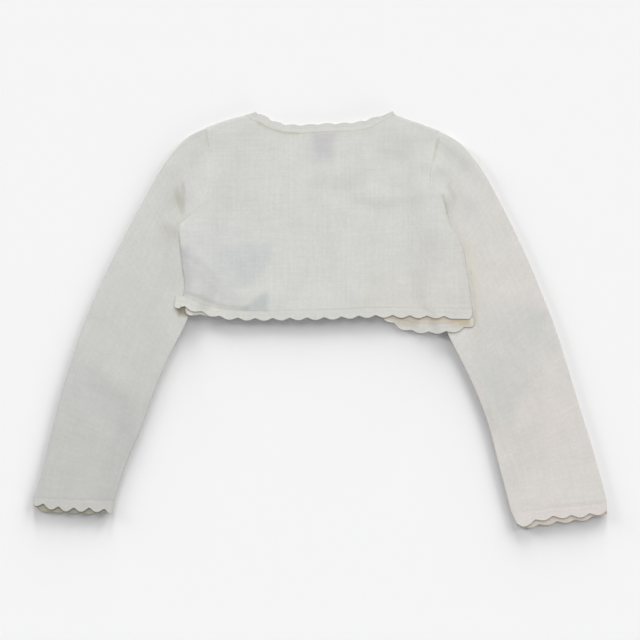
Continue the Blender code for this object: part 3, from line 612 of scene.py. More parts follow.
def armhole_rise(places):
    """How far a sleeve's upper layer rises near its armhole, to be level with the back."""
    height = np.zeros(places.shape[:-1])
    for side, outward in ((EDGES["side_left"], 1), (EDGES["side_right"], -1)):
        near = nearness(side[SIDE_POINTS - 1:], places, ARMHOLE_RISE)
        if near.max() > ARMHOLE_NEAR:
            out = outward * side_distance(side, places)
            level = back_height(places) + CLOTH - ARMHOLE_STEP
            height += near * ease(1 + out / ARMHOLE_SINK) * (level - SLEEVE_DEPTH)
    return height


def neck_label_height(places):
    """Underside of the neck label, which hangs close below the back."""
    return back_height(places) - SEAM_GAP - LABEL


def care_label_height(places):
    """Underside of the care label, which lies on the front."""
    return lift(places) + CLOTH * front_cover(places) + LABEL_CLEAR


# ================================================================ meshes
def quads(grid, order):
    """The four corners of each cell of a grid, in one order or, with -1, in the other."""
    corners = [grid[:-1, :-1], grid[1:, :-1], grid[1:, 1:], grid[:-1, 1:]][::order]
    return np.stack(corners, axis=2).reshape(-1, 4, *grid.shape[2:])


def model_of(name, points, outside, inside, knit, material):
    """An object with the given points, in mm, whose faces look out of their closed surface.

    outside and inside are the grids of point numbers of the cloth's two faces. knit has a pair
    for each place of a grid, and becomes the UV map, in metres: how far the place lies across
    the columns of stitches, and how far along them.
    """
    faces = np.concatenate([quads(outside, 1), quads(inside, -1)])
    knit = np.concatenate([quads(knit, 1), quads(knit, -1)])
    corners = points[faces]
    turn = np.cross(corners[:, 1] - corners[:, 0], corners[:, 2] - corners[:, 0])
    turn += np.cross(corners[:, 2] - corners[:, 0], corners[:, 3] - corners[:, 0])
    if np.sum(turn * corners.mean(axis=1)) < 0:
        faces, knit = faces[:, ::-1], knit[:, ::-1]
    middle = np.array([*PLAN_MIDDLE, 0])
    mesh = bpy.data.meshes.new(name)
    mesh.from_pydata(((points - middle) * MM).tolist(), [], faces.tolist())
    layer = mesh.uv_layers.new(name="knit")
    layer.uv.foreach_set("vector", (knit * MM).astype(np.float32).ravel())
    mesh.shade_smooth()
    mesh.materials.append(material)
    piece = bpy.data.objects.new(name, mesh)
    bpy.context.scene.collection.objects.link(piece)
    return piece


def area_share(outline, places, soft):
    """1 inside a closed outline and 0 outside it, with a soft edge."""
    line = along(outline + outline[:1], np.linspace(0, 1, MEASURED_STEPS))
    offset = nearest_on(line, places)[1]
    inside = np.zeros(len(places), bool)
    for (x0, y0), (x1, y1) in zip(outline, outline[1:] + outline[:1]):
        crosses = (places[:, 1] < y0) != (places[:, 1] < y1)
        at = x0 + (places[:, 1] - y0) * (x1 - x0) / (y1 - y0 or 1)
        inside ^= crosses & (places[:, 0] < at)
    signed = np.linalg.norm(offset, axis=-1) * np.where(inside, 1, -1)
    return ease(0.5 + signed / (2 * soft))


def paint(piece, tints, lining=(1, 1, 1), first_inside=0):
    """Gives a piece its tints and painted shade as a colour attribute, and its inner points the
    painted shade of a cuff's inside too.
    """
    count = len(piece.data.vertices)
    points, normals = np.empty(count * 3), np.empty(count * 3)
    piece.data.vertices.foreach_get("co", points)
    piece.data.vertex_normals.foreach_get("vector", normals)
    places = points.reshape(-1, 3)[:, :2] / MM + PLAN_MIDDLE
    faces_up = ease(1 - normals[2::3] / FACES_DOWN)
    colour = np.ones((count, 4))
    for tint in tints:
        if isinstance(tint, Patch):
            share = area_share(tint.outline, places, tint.soft)
        else:
            share = nearness(smooth(tint.line, FOLD_STEPS), places, tint.soft)
        if tint.soft <= UPPER_SIDE:
            share = share * faces_up
        colour[:, :3] *= 1 - share[:, None] * (1 - np.array(tint.rgb))
    # painted shade on the inner faces of a cuff, where its upper layer shades them
    colour[first_inside:, :3] *= lining
    # the tints hold the yarn's tone, labels seen through the knit, and painted shade and highlights
    layer = piece.data.attributes.new("tone_and_shade", "FLOAT_COLOR", "POINT")
    layer.data.foreach_set("color", colour.astype(np.float32).ravel())
    return piece


def rim_shares(count):
    """Share of the cloth's thickness at each line across, between two rounded edges."""
    shares = np.ones(count)
    rounded = [0] + [math.sqrt(1 - (1 - share)**2) for share in RIM]
    shares[:len(rounded)] = rounded
    shares[-len(rounded):] = rounded[::-1]
    return shares


def with_rims(grids, axis, radii):
    """Adds lines close to the two edges along an axis, so that the edges can be rounded.

    The first grid holds the plan points, and the others follow it.
    """
    for order, radius in zip((1, -1), radii):
        turned = [np.moveaxis(grid, axis, 0)[::order] for grid in grids]
        away = np.linalg.norm(turned[0][1] - turned[0][0], axis=-1)[..., None]
        for index, grid in enumerate(turned):
            step = (grid[1] - grid[0]) * radius / away
            close = [grid[0] + step * share for share in RIM]
            grid = np.concatenate([grid[:1], close, grid[1:]])
            grids[index] = np.moveaxis(grid[::order], 0, axis)
    return grids


def sheet(name, places, height, thickness, radii, knit, material, relief=0):
    """A closed sheet of cloth over a grid of plan points, with rounded edges.

    height gives its underside. radii are those of its edges: the first and last line of the
    first axis, then of the second. relief adds to the height of the upper face.
    """
    grids = [places, knit, (np.zeros(places.shape[:2]) + relief)[..., None]]
    places, knit, relief = with_rims(with_rims(grids, 0, radii[:2]), 1, radii[2:])
    rows, columns = places.shape[:2]
    share = rim_shares(rows)[:, None] * rim_shares(columns)[None]
    middle = height(places) + thickness / 2
    raised = relief[..., 0] * share
    upper = np.concatenate([places, (middle + share * thickness / 2 + raised)[..., None]], -1)
    lower = np.concatenate([places, (middle - share * thickness / 2)[..., None]], -1)

    numbers = np.arange(rows * columns).reshape(rows, columns)
    below = numbers.copy()
    inner = (rows - 2) * (columns - 2)
    below[1:-1, 1:-1] = rows * columns + np.arange(inner).reshape(rows - 2, columns - 2)
    points = np.concatenate([upper.reshape(-1, 3), lower[1:-1, 1:-1].reshape(-1, 3)])
    return model_of(name, points, numbers, below, knit, material)


def tube(name, outer, inner, knit, material):
    """A closed tube of cloth between two grids of rings, which share their first and last ring."""
    rows, columns = outer.shape[:2]
    numbers = np.arange(rows * columns).reshape(rows, columns)
    inside = numbers.copy()
    inside[1:-1] = rows * columns + np.arange((rows - 2) * columns).reshape(rows - 2, columns)
    points = np.concatenate([outer.reshape(-1, 3), inner[1:-1].reshape(-1, 3)])
    around = [np.concatenate([grid, grid[:, :1]], axis=1) for grid in (numbers, inside)]
    return model_of(name, points, *around, knit, material)


# ================================================================ panels
SEWN_EDGE = 0.35       # radius of an edge that is sewn to another
CUT_EDGE = 0.65        # radius of an edge that lies free


# The panels' columns of stitches run up from the hem to the neck, so a place in the plan is also
# its place in the knit.
def make_back(material):
    """The back panel, from the hem's seam to the neck's."""
    top = joined(EDGES["shoulder_left"], EDGES["neck"], EDGES["shoulder_right"])
    places = patch(EDGES["hem"], top, EDGES["side_left"], EDGES["side_right"])
    radii = (SEWN_EDGE / 2, SEWN_EDGE, SEWN_EDGE, SEWN_EDGE)
    back = sheet("knit_back", places, back_height, CLOTH, radii, places, material)
    return paint(back, BODY_TONE_AND_SHADE)


def make_front(hand, material):
    """A bolero front: its cut edge is the patch's hem and then its front edge."""
    cut = EDGES["cut_" + hand]
    hem = cut[:FRONT_COLUMNS * FINER + 1]
    front_edge = cut[FRONT_COLUMNS * FINER:]
    side = EDGES["front_side_" + hand]
    if hand == "left":
        shoulder = smooth(SHOULDER_LEFT, FRONT_COLUMNS * FINER)
        places = patch(hem, shoulder, side, front_edge)
    else:
        shoulder = smooth(SHOULDER_RIGHT, FRONT_COLUMNS * FINER)
        places = patch(hem[::-1], shoulder, front_edge, side)
    radii = (SEWN_EDGE,) * 4
    front = sheet("knit_front_" + hand, places, front_height, CLOTH, radii, places, material)
    return paint(front, FRONT_TONE_AND_SHADE)


# ================================================================ edging
RIPPLES = 3            # ridges that run along the edging, between its seam and its free edge
RIPPLE_HEIGHT = 0.06
RIPPLE_START = 0.1     # share of a ripple that the seam cuts off
BOUND_EDGE = 0.2       # how far the bound-off edge stands up
BOUND_WIDTH = 0.12     # share of the edging's width that it takes
ROLL_MIDDLE = 0.16     # share of that width where the edging rolls up most,
ROLL_WIDTH = 0.17      # and how wide that roll is
CUFF_ROLL = -0.12      # a cuff's edging has a shallow groove there instead
LOOP_COUNT = 6         # stitches that fan out in one scallop
LOOP_HEIGHT = 0.06


def scallop(phase):
    """0 at each whole phase, where a notch is, and 1 at the scallop's tip between."""
    return ((1 - np.cos(TURN * phase)) / 2)**SCALLOP_ROUND


def edging_relief(phase, out, roll):
    """Height of the edging's own stitches: out is 0 at the seam and 1 at the free edge."""
    ripples = RIPPLE_HEIGHT * np.sin(TURN * (RIPPLES * out + RIPPLE_START))
    bound = BOUND_EDGE * np.exp(-((1 - out) / BOUND_WIDTH)**2)
    rolled = roll * np.exp(-((out - ROLL_MIDDLE) / ROLL_WIDTH)**2)
    fan = LOOP_HEIGHT * np.cos(TURN * LOOP_COUNT * phase) * ease(out)
    return ripples + bound + rolled + fan


def make_edging(trim, material):
    """A scalloped strip on the left of its seam line."""
    edging = trim.edging
    length = lengths_along(trim.seam)[-1]
    start, end = -edging.first / edging.pitch, (length - edging.first) / edging.pitch
    phase = np.linspace(start, end, round((end - start) * EDGING_STEPS) + 1)
    at = (phase - start) / (end - start)
    line = along(trim.seam, at)
    out = normals_left(line)
    notched = ease(at * length / edging.plain - 1) if edging.plain else 1
    width = edging.height + edging.depth * (1 - notched * (1 - scallop(phase)))
    for kept, from_end in ((edging.start, at * length), (edging.end, (1 - at) * length)):
        width *= 1 - (1 - kept) * ease(1 - from_end / NARROWING)
        if kept == 1:
            rounded = np.clip(1 - from_end / END_ROUND, 0, 1)
            width *= np.sqrt(1 - (1 - END_WIDTH**2) * rounded**2)
    share = np.linspace(0, 1, EDGING_ACROSS + 1)
    reach = (width[:, None] + OVERLAP) * share - OVERLAP
    forward = edging.lean * ease(1 - at * length / NARROWING)[:, None] * share
    ahead = np.stack([out[:, 1], -out[:, 0]], axis=-1)
    places = line[:, None] + reach[..., None] * out[:, None] + forward[..., None] * ahead[:, None]
    knit = np.stack([np.broadcast_to(at[:, None] * length, reach.shape), reach], axis=-1)
    relief = edging_relief(phase[:, None], share[None], edging.roll)
    relief -= LINKED_DIP * (1 - ease((reach + OVERLAP) / (2 * OVERLAP)))
    relief += creased(places, EDGING_CURLS)
    radii = (CUT_EDGE, CUT_EDGE, SEWN_EDGE / 2, CUT_EDGE)
    strip = sheet(trim.piece, places, trim.height, CLOTH, radii, knit, material, relief)
    return paint(strip, trim.tints)


# ================================================================ sleeves and cuffs
def fullness(shares):
    """Share of a sleeve's half depth that its section has, from fold to fold."""
    return (1 - np.abs(2 * shares - 1)**FOLD_POWER)**(1 / FOLD_POWER)


def all_round(shares):
    """Distances round a ring, in widths: over its upper layer, and on along its lower one."""
    return np.concatenate([shares, 2 - shares[-2::-1]])


def ring_points(upper, lower, shares, inset, depth, relief):
    """One ring of a flat tube: over the upper layer and back along the lower one."""
    width = np.linalg.norm(upper(np.ones(1)) - upper(np.zeros(1)))
    taken = inset / width
    places_at = taken + (1 - 2 * taken) * shares
    half = depth / 2
    full = fullness(shares)
    flat = np.where(full > FLAT_SHARE, 1, full)
    above, below = upper(places_at), lower(places_at)
    soft = folded(above, SLEEVE_FOLDS) + creased(above, SLEEVE_CREASES) + relief
    soft += armhole_rise(above)
    raised = full * creased(below, SLEEVE_HIDDEN)
    top = np.concatenate([above, (half + (half - inset) * full + full * soft)[:, None]], -1)
    bottom = np.concatenate([below, (half - (half - inset) * flat + raised)[:, None]], -1)
    return np.concatenate([top, bottom[-2:0:-1]])


def end_rows(count, length):
    """Shares of a tube's length at its rings, with close ones at its ends, and wall shares."""
    even = np.linspace(0, 1, count + 1)
    close = np.array(RIM) * CLOTH / 2 / length
    at = np.concatenate([[0], close, even[1:-1], 1 - close[::-1], [1]])
    return at, rim_shares(len(at))


def towards_folds(count):
    """Shares of a flat tube's width, which crowd towards its two folds."""
    return (1 - np.cos(np.linspace(0, math.pi, count))) / 2


# upper and lower are functions that give a ring's plan line on the two layers, depth is its height
# from one layer to the other, and relief what its upper layer has on top. columns is where each of
# its points lies across the knit's columns, and row how far along them the ring lies.
Ring = namedtuple("Ring", "upper lower depth relief columns row")


def flat_tube(name, length, steps, shares, ring_at, lining, material):
    """A flat tube of cloth, from the rings that ring_at gives for shares of its length."""
    outside, inside, knit = [], [], []
    for at, wall in zip(*end_rows(steps, length)):
        ring = ring_at(at)
        inset = (1 - wall) * CLOTH / 2
        layers = (ring.upper, ring.lower, shares)
        outside.append(ring_points(*layers, inset, ring.depth, ring.relief * wall))
        inside.append(ring_points(*layers, CLOTH - inset, ring.depth, 0))
        knit.append(np.stack([ring.columns, np.full(len(ring.columns), ring.row)], axis=-1))
    outside = np.array(outside)
    piece = tube(name, outside, np.array(inside), np.array(knit), material)
    return paint(piece, SLEEVE_TONE_AND_SHADE, lining, outside.shape[0] * outside.shape[1])


def make_sleeve(sleeve, material):
    """A sleeve from its armhole to its cuff's seam. Its columns spread from its middle."""
    outer_line = smooth(sleeve.outer, FOLD_FINER * SLEEVE_ROWS)
    inner_line = smooth(sleeve.underarm, FOLD_FINER * SLEEVE_ROWS)
    start = smooth(sleeve.start, CURVE_STEPS)
    length = lengths_along((outer_line + inner_line) / 2)[-1]
    shares = towards_folds(SLEEVE_ACROSS + 1)

    def ring_at(at_row):
        outer, inner = along(outer_line, [at_row])[0], along(inner_line, [at_row])[0]
        fade = max(0, 1 - at_row / ARMHOLE_FADE)**2
        tuck = ARMHOLE_REACH * max(0, 1 - at_row * length / ARMHOLE_TUCK)

        def section(at):
            chord = (1 - at)[:, None] * outer + at[:, None] * inner
            first_chord = (1 - at)[:, None] * start[0] + at[:, None] * start[-1]
            return chord + fade * (along(start, at) - first_chord) + (sleeve.inward * tuck, 0)

        columns = (all_round(shares) - 0.5) * np.linalg.norm(outer - inner)
        return Ring(section, section, SLEEVE_DEPTH, 0, columns, -at_row * length)

    return flat_tube("knit_sleeve_" + sleeve.hand, length, SLEEVE_ROWS, shares, ring_at,
                     (1, 1, 1), material)


def make_cuff(sleeve, material):
    """The scalloped edging of a cuff: a short tube from the sleeve's seam to its free edge."""
    cuff = CUFFS[sleeve.hand]
    outer, inner = np.array(sleeve.outer[-1]), np.array(sleeve.underarm[-1])
    edge = smooth(cuff.edge, CURVE_STEPS)
    axis = (edge[0] + edge[-1] - outer - inner) / 2
    depth = np.linalg.norm(axis)
    axis /= depth
    shares = towards_folds(round(CUFF_STEPS / cuff.pitch))
    columns = all_round(shares) * np.linalg.norm(outer - inner)
    phase = (shares - cuff.upper_first) / cuff.pitch

    def seam(at):
        return (1 - at)[:, None] * outer + at[:, None] * inner - OVERLAP * axis

    def notches(at, first):
        return 1 - scallop((at - first) / cuff.pitch)[:, None]

    def upper_edge(at):
        return along(edge, at) - cuff.notch * notches(at, cuff.upper_first) * axis

    def lower_edge(at):
        out = np.interp(at, np.linspace(0, 1, len(cuff.lower)), cuff.lower)[:, None]
        out = out - cuff.lower_notch * notches(at, cuff.lower_first)
        return along(edge, at) + out * axis

    def ring_at(at_row):
        def upper(at):
            return (1 - at_row) * seam(at) + at_row * upper_edge(at)

        def lower(at):
            return (1 - at_row) * seam(at) + at_row * lower_edge(at)

        level = SLEEVE_DEPTH - (SLEEVE_DEPTH - CUFF_DEPTH) * at_row
        relief = edging_relief(phase, at_row, CUFF_ROLL)
        return Ring(upper, lower, level, relief, columns, at_row * depth)

    return flat_tube("edging_cuff_" + sleeve.hand, depth, EDGING_ACROSS, shares, ring_at,
                     cuff.lining, material)


# ================================================================ linking stitches
LINK_PITCH = 2.6       # one stitch of the chain that links the edging on
LINK_LAP = 0.2         # how far it reaches past its pitch, into its neighbours
LINK_WIDTH = 1.4       # across the seam
LINK_THREAD = 0.42     # its thread,
LINK_FLATTER = 0.9     # which is pressed this flat
LINK_SUNK = 0.02       # how deep the thread's middle lies in the cloth
LINK_START = 0.6       # a loop's vertices this far back from its middle are its start,
LINK_NARROWER = 0.5    # which is narrower by this share
LINK_DIP = 0.1         # and goes this much deeper


def shape_link():
    """One linking stitch: a loop of thread along +X, narrow and sunk where it starts."""
    bpy.ops.object.select_all(action="DESELECT")
    bpy.ops.mesh.primitive_torus_add(major_segments=8, minor_segments=4,
                                     major_radius=(LINK_PITCH + LINK_LAP) / 2 * MM,
                                     minor_radius=LINK_THREAD / 2 * MM)
    link = bpy.context.object
    bpy.ops.object.mode_set(mode="EDIT")
    bpy.ops.mesh.select_all(action="SELECT")
    bpy.ops.transform.resize(value=(1, LINK_WIDTH / LINK_PITCH, LINK_FLATTER))
    bpy.ops.mesh.select_all(action="DESELECT")
    bpy.ops.object.mode_set(mode="OBJECT")
    for vertex in link.data.vertices:
        vertex.select = vertex.co.x < -LINK_START * MM
    bpy.ops.object.mode_set(mode="EDIT")
    bpy.ops.transform.resize(value=(1, LINK_NARROWER, 1))
    bpy.ops.transform.translate(value=(0, 0, -LINK_DIP * MM))
    bpy.ops.object.mode_set(mode="OBJECT")
    link.data.shade_smooth()
    return link


def make_links(node, seam, tops, link, tints, material):
    """A trim's linking stitches, along a seam whose cloth has these heights, as one mesh."""
    count = int(lengths_along(seam)[-1] / LINK_PITCH)
    at = (np.arange(count) + 0.5) / count
    places = along(seam, at)
    step = 0.1 / count
    ahead = along(seam, at + step) - along(seam, at - step)
    heights = np.interp(at, np.linspace(0, 1, len(tops)), tops) - LINK_SUNK
    bpy.ops.object.select_all(action="DESELECT")
    for place, way, height in zip(places - PLAN_MIDDLE, ahead, heights):
        stitch = link.copy()
        stitch.data = link.data.copy()
        stitch.location = Vector((*place, height)) * MM
        stitch.rotation_euler = (0, 0, math.atan2(way[1], way[0]))
        bpy.context.scene.collection.objects.link(stitch)
        stitch.select_set(True)
    bpy.context.view_layer.objects.active = stitch
    bpy.ops.object.join()
    bpy.ops.object.transform_apply(location=True, rotation=True, scale=True)
    row = bpy.context.object
    row.name = row.data.name = node.replace("trim", "links")
    row.data.materials.append(material)
    return paint(row, tints)


def cuff_seam(sleeve):
    """Plan line and heights of the upper layer at a cuff's seam."""
    shares = np.linspace(CUFF_SEAM_ENDS, 1 - CUFF_SEAM_ENDS, CUFF_SEAM_STEPS)
    line = along([sleeve.outer[-1], sleeve.underarm[-1]], shares)
    soft = folded(line, SLEEVE_FOLDS) + creased(line, SLEEVE_CREASES)
    return line, SLEEVE_DEPTH / 2 * (1 + fullness(shares)) + soft


# ================================================================ labels
def make_label(name, tape, height, material):
    """A blank tape between two points of its centre line."""
    first, last = np.array(tape.first), np.array(tape.last)
    line = along([first, last], np.linspace(0, 1, LABEL_STEPS + 1))
    share = np.linspace(-0.5, 0.5, LABEL_STEPS + 1)
    places = line[:, None] + tape.width * normals_left(line)[:, None] * share[:, None]
    length = np.linalg.norm(last - first)
    knit = np.stack(np.meshgrid(np.linspace(0, length, LABEL_STEPS + 1), share * tape.width,
                                indexing="ij"), axis=-1)
    return sheet(name, places, height, LABEL, (LABEL / 2,) * 4, knit, material)


# ================================================================ finishes
def linear(hex_colour):
    """An sRGB hex colour as linear red, green, blue and alpha."""
    channels = [int(hex_colour[i:i + 2], 16) / 255 for i in (1, 3, 5)]
    return [c / 12.92 if c <= 0.04045 else ((c + 0.055) / 1.055)**2.4 for c in channels] + [1]


def add(tree, kind, inputs=(), output=0, **settings):
    """Adds a node with its settings and links, and gives one of its outputs.

    inputs maps a socket's name or number to a value, or to the output of another node.
    """
    node = tree.nodes.new(kind)
    for key, value in settings.items():
        setattr(node, key, value)
    for key, value in dict(inputs).items():
        if isinstance(value, bpy.types.NodeSocket):
            tree.links.new(value, node.inputs[key])
        else:
            node.inputs[key].default_value = value
    return node.outputs[output]


def finish_of(name, **settings):
    """A new material, its node tree, and its shader with these settings."""
    material = bpy.data.materials.new(name)
    material.use_nodes = True
    tree = material.node_tree
    shader = tree.nodes["Principled BSDF"]
    for key, value in settings.items():
        shader.inputs[key.replace("_", " ")].default_value = value
    return material, tree, shader


MATH = "ShaderNodeMath"
NOISE = "ShaderNodeTexNoise"
RANGE = "ShaderNodeMapRange"

LEG_CLIMB = 1.3        # rows that a leg of a stitch's V would climb across a whole column
STITCH_GAP = 0.3       # how far the cloth sinks between two stitches of a column, as a share
GAP_SHADE = 0.9        # how light the yarn is in the gaps,
GAP_LIT = 0.6          # and the height from which it has its full colour
EVEN_ALONG = 0.09      # a column stays even for about eleven rows,
EVEN_ACROSS = 0.1      # and a row for about ten columns
FLUFF = 1100           # patterns to the metre: fluff of 0.9 mm, and clouds of 4 and 22 mm
CLOUDS = (260, 45)
STITCH_NOISE = 0.75    # and patterns to the column or row


def tinted_and_shaded(tree, shader, yarn, shade):
    """Gives the shader the yarn's colour, times the piece's tints and painted shade, and a grey
    shade.
    """
    tints = add(tree, "ShaderNodeAttribute", attribute_name="tone_and_shade")
    grey = add(tree, "ShaderNodeCombineColor", {0: shade, 1: shade, 2: shade})
    colour = linear(yarn)
    for layer in (tints, grey):
        colour = add(tree, "ShaderNodeMix", {"Factor": 1.0, 6: colour, 7: layer}, 2,
                     data_type="RGBA", blend_type="MULTIPLY")
    tree.links.new(colour, shader.inputs["Base Color"])


def knit_finish(name, colour, wale, course):
    """Fine combed cotton yarn, machine knitted in stockinette.

    It gives the eye a matt white with a little nap. Each column is a row of small Vs, and the
    gaps between the stitches are painted darker than the yarn, as shade. Columns and rows that
    were drawn tighter or looser show as faint ribs, and soft clouds and fluff keep the colour from
    being even.
    """
    material, tree, shader = finish_of(name, Roughness=0.9, IOR=1.47, Specular_IOR_Level=0.2,
                                       Sheen_Weight=0.06, Sheen_Roughness=0.6)
    cloth = add(tree, "ShaderNodeUVMap", uv_map="knit")
    x = add(tree, "ShaderNodeSeparateXYZ", {0: cloth})
    y = add(tree, "ShaderNodeSeparateXYZ", {0: cloth}, 1)
    across = add(tree, MATH, {0: x, 1: wale * MM}, operation="DIVIDE")
    up = add(tree, MATH, {0: y, 1: course * MM}, operation="DIVIDE")

    # In one column, a leg of the V leans each way from the middle.
    half = add(tree, MATH, {0: across}, operation="FRACT")
    half = add(tree, MATH, {0: half, 1: 0.5}, operation="SUBTRACT")
    half = add(tree, MATH, {0: half}, operation="ABSOLUTE")
    leg = add(tree, MATH, {0: half, 1: TURN}, operation="MULTIPLY")
    leg = add(tree, MATH, {0: leg}, operation="SINE")
    loop = add(tree, MATH, {0: half, 1: LEG_CLIMB, 2: up}, operation="MULTIPLY_ADD")
    loop = add(tree, MATH, {0: loop, 1: TURN}, operation="MULTIPLY")
    loop = add(tree, MATH, {0: loop}, operation="COSINE")
    loop = add(tree, MATH, {0: loop, 1: STITCH_GAP, 2: 1 - STITCH_GAP}, operation="MULTIPLY_ADD")
    height = add(tree, MATH, {0: leg, 1: loop}, operation="MULTIPLY")

    along_column = add(tree, MATH, {0: up, 1: EVEN_ALONG}, operation="MULTIPLY")
    along_row = add(tree, MATH, {0: across, 1: EVEN_ACROSS}, operation="MULTIPLY")
    column = add(tree, "ShaderNodeCombineXYZ", {0: across, 1: along_column})
    row = add(tree, "ShaderNodeCombineXYZ", {0: along_row, 1: up})
    place = add(tree, "ShaderNodeTexCoord", output="Object")
    fluff = add(tree, NOISE, {"Vector": place, "Scale": FLUFF, "Detail": 2})
    # painted shade: the yarn is darker in the gaps between the stitches
    shade = add(tree, RANGE, {0: height, 1: 0.0, 2: GAP_LIT, 3: GAP_SHADE, 4: 1.0})
    for where, scale, depth in ((column, STITCH_NOISE, 0.02), (row, STITCH_NOISE, 0.02),
                                (place, CLOUDS[0], 0.022), (place, CLOUDS[1], 0.02),
                                (place, FLUFF, 0.035)):
        uneven = add(tree, NOISE, {"Vector": where, "Scale": scale, "Detail": 2})
        uneven = add(tree, RANGE, {0: uneven, 1: 0.3, 2: 0.7, 3: 1 - depth, 4: 1 + depth})
        shade = add(tree, MATH, {0: shade, 1: uneven}, operation="MULTIPLY")
    tinted_and_shaded(tree, shader, colour, shade)
    rough = add(tree, MATH, {0: fluff, 1: 0.3, 2: height}, operation="MULTIPLY_ADD")
    bump = add(tree, "ShaderNodeBump", {"Strength": 0.4, "Distance": 0.3 * MM, "Height": rough})
    tree.links.new(bump, shader.inputs["Normal"])
    return material


def thread_finish(name, colour):
    """Two-ply mercerised cotton sewing thread: smoother and a little glossier than the knit.

    Its plies, about 0.25 mm thick, wind round it, which shows as fine slanting lines. They are
    drawn about 0.9 mm apart, because the real ones are too fine to show.
    """
    material, tree, shader = finish_of(name, Roughness=0.7, IOR=1.5, Specular_IOR_Level=0.3,
                                       Sheen_Weight=0.06)
    place = add(tree, "ShaderNodeTexCoord", output="Object")
    plies = add(tree, "ShaderNodeTexWave", {"Vector": place, "Scale": 500.0, "Distortion": 2.0},
                1, wave_type="BANDS", bands_direction="DIAGONAL")
    shade = add(tree, RANGE, {0: plies, 1: 0.0, 2: 1.0, 3: 0.93, 4: 1.0})
    tinted_and_shaded(tree, shader, colour, shade)
    bump = add(tree, "ShaderNodeBump", {"Strength": 0.3, "Distance": 0.05 * MM, "Height": plies})
    tree.links.new(bump, shader.inputs["Normal"])
    return material


def label_finish(name, colour):
    """Woven polyester satin tape: smooth, cool white and a little shiny.

    Fine warp threads 0.4 mm apart run along it, crossed by a weft every 0.3 mm.
    """
    material, tree, shader = finish_of(name, Base_Color=linear(colour), Roughness=0.45,
                                       Sheen_Weight=0.2)
    cloth = add(tree, "ShaderNodeUVMap", uv_map="knit")
    x = add(tree, "ShaderNodeSeparateXYZ", {0: cloth})
    y = add(tree, "ShaderNodeSeparateXYZ", {0: cloth}, 1)
    threads = add(tree, MATH, {0: y, 1: TURN / (0.4 * MM)}, operation="MULTIPLY")
    threads = add(tree, MATH, {0: threads}, operation="SINE")
    ribs = add(tree, MATH, {0: x, 1: TURN / (0.3 * MM)}, operation="MULTIPLY")
    ribs = add(tree, MATH, {0: ribs}, operation="SINE")
    weave = add(tree, MATH, {0: ribs, 1: 0.5, 2: threads}, operation="MULTIPLY_ADD")
    bump = add(tree, "ShaderNodeBump", {"Strength": 0.3, "Distance": 0.05 * MM, "Height": weave})
    tree.links.new(bump, shader.inputs["Normal"])
    return material


# ================================================================ the shrug
ivory = knit_finish("ivory_stockinette", "#d7d8d3", WALE, COURSE)
edging_yarn = knit_finish("ivory_edging_knit", "#d8d8d3", EDGING_WALE, EDGING_COURSE)
thread = thread_finish("ivory_linking_thread", "#d6d6d1")
satin = label_finish("satin_label_tape", "#d8dae0")

hem_seam = joined([HEM_OVERHANG, EDGES["hem"][0]], EDGES["hem"])[::-1]
Trim = namedtuple("Trim", "node piece seam edging height tints")
TRIMS = [
    Trim("trim_neck_back", "edging_neck", EDGES["neck"], NECK_EDGING, back_height, BODY_TONE_AND_SHADE),
    Trim("trim_hem_back", "edging_hem", hem_seam, HEM_EDGING, back_height, BODY_TONE_AND_SHADE),
    Trim("trim_front_left", "edging_front_left", EDGES["cut_left"][::-1], FRONT_EDGING_LEFT,
         front_height, FRONT_TONE_AND_SHADE),
    Trim("trim_front_right", "edging_front_right", EDGES["cut_right"], FRONT_EDGING_RIGHT,
         front_height, FRONT_TONE_AND_SHADE),
]
pieces = {
    "back": make_back(ivory),
    "front_left": make_front("left", ivory),
    "front_right": make_front("right", ivory),
}
for sleeve in SLEEVES:
    pieces["sleeve_" + sleeve.hand] = make_sleeve(sleeve, ivory)
for trim in TRIMS:
    pieces[trim.node] = make_edging(trim, edging_yarn)
for sleeve in SLEEVES:
    pieces["trim_cuff_" + sleeve.hand] = make_cuff(sleeve, edging_yarn)
pieces["label_neck"] = make_label("tape_neck", NECK_LABEL, neck_label_height, satin)
pieces["label_care"] = make_label("tape_care", CARE_LABEL, care_label_height, satin)

for node, piece in pieces.items():
    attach(piece, "root")
    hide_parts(node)

link = shape_link()
rows_of_links = {}
for trim in TRIMS:
    line = along(trim.seam, np.linspace(SEAM_ENDS, 1 - SEAM_ENDS, SEAM_STEPS))
    rows_of_links[trim.node] = make_links(trim.node, line, trim.height(line) + CLOTH, link,
                                          trim.tints, thread)
for sleeve in SLEEVES:
    node = "trim_cuff_" + sleeve.hand
    rows_of_links[node] = make_links(node, *cuff_seam(sleeve), link, SLEEVE_TONE_AND_SHADE, thread)
bpy.data.objects.remove(link)
for node, row in rows_of_links.items():
    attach(row, "root")

# A Cut would hold the size that a sheet is knitted or cut to, in metres, and its area in square
# metres. No piece is given one here.
Cut = namedtuple("Cut", "width length area")
for node, piece in pieces.items():
    "folded" if "sleeve" in node or "cuff" in node else "laid"

# ================================================================ surface, light and camera
PAPER_SIZE = 20                # in metres
PAPER_BELOW = 0.3              # how far below the cloth the paper lies
# Uncoated white paper is matt all over, and too smooth for its grain to show from here.
paper = finish_of("matt_white_paper", Base_Color=linear("#f2f2f2"), Roughness=0.85,
                  Specular_IOR_Level=0.0)[0]
bpy.ops.object.select_all(action="DESELECT")
bpy.ops.mesh.primitive_plane_add(size=PAPER_SIZE, location=(0, 0, -PAPER_BELOW * MM))
floor = bpy.context.object
floor.name = "paper_floor"
floor.data.materials.append(paper)

SKY = 0.26                     # even light from all round
world = bpy.data.worlds.new("studio")
world.use_nodes = True
world.node_tree.nodes["Background"].inputs[0].default_value = (1, 1, 1, 1)
world.node_tree.nodes["Background"].inputs[1].default_value = SKY
bpy.context.scene.world = world

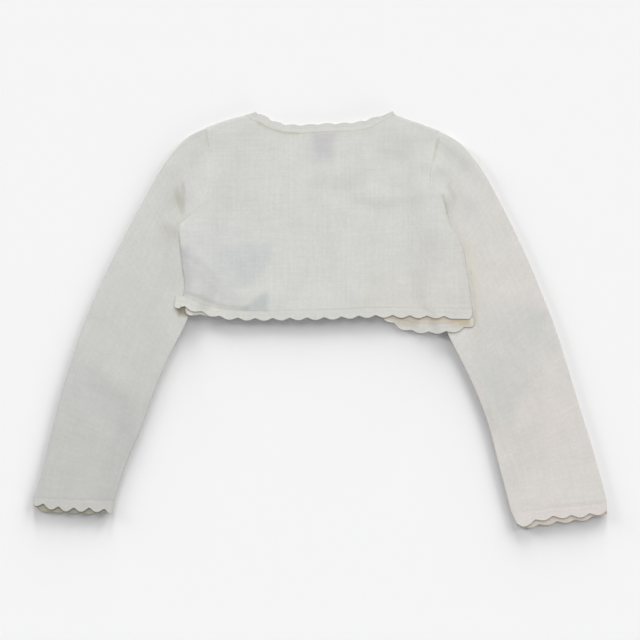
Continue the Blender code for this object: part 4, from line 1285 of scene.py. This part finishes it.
# A soft lamp high above lights the cloth. Low ones, most of them beyond the neck, light the paper
# alone, where they leave a wide soft shadow. towards is the plan angle of a lamp from +Y to +X,
# height its angle above the paper, wide how large it looks, and level the light that it gives to
# a level surface.
Lamp = namedtuple("Lamp", "name towards height wide level lights")
LAMPS = [
    Lamp("overhead", 0, 60, 70, 0.74, "cloth"),
    Lamp("low_middle", 0, 8, 14, 0.186, "paper"),
    Lamp("high_left", -30, 28, 40, 0.09, "paper"),
    Lamp("far_left", -60, 8, 14, 0.135, "paper"),
    Lamp("low_right", 30, 8, 14, 0.145, "paper"),
    Lamp("far_right", 60, 12, 20, 0.165, "paper"),
    Lamp("front_right", 130, 8, 14, 0.05, "paper"),
]
lit = {"cloth": [*pieces.values(), *rows_of_links.values()], "paper": [floor]}
receivers = {}
for kind, objects in lit.items():
    receivers[kind] = bpy.data.collections.new("lit_" + kind)
    for item in objects:
        receivers[kind].objects.link(item)
for lamp in LAMPS:
    data = bpy.data.lights.new(lamp.name, "SUN")
    data.energy = lamp.level * math.pi / math.sin(math.radians(lamp.height))
    data.angle = math.radians(lamp.wide)
    light = bpy.data.objects.new(lamp.name, data)
    plan, rise = math.radians(lamp.towards), math.radians(lamp.height)
    towards = Vector((math.sin(plan) * math.cos(rise), math.cos(plan) * math.cos(rise),
                      math.sin(rise)))
    light.rotation_euler = towards.to_track_quat("Z", "Y").to_euler()
    light.light_linking.receiver_collection = receivers[lamp.lights]
    bpy.context.scene.collection.objects.link(light)

FRAME_WIDTH = 684.8            # width of the view at the surface
VIEW_MIDDLE = (-0.107, -0.374)
camera_data = bpy.data.cameras.new("camera")
camera_data.lens = 100
camera_data.sensor_width = 36
camera = bpy.data.objects.new("camera", camera_data)
away = FRAME_WIDTH * camera_data.lens / camera_data.sensor_width
camera.location = Vector((VIEW_MIDDLE[0] - PLAN_MIDDLE[0], VIEW_MIDDLE[1] - PLAN_MIDDLE[1],
                          away)) * MM
bpy.context.scene.collection.objects.link(camera)
bpy.context.scene.camera = camera
bpy.context.scene.view_settings.view_transform = "Standard"
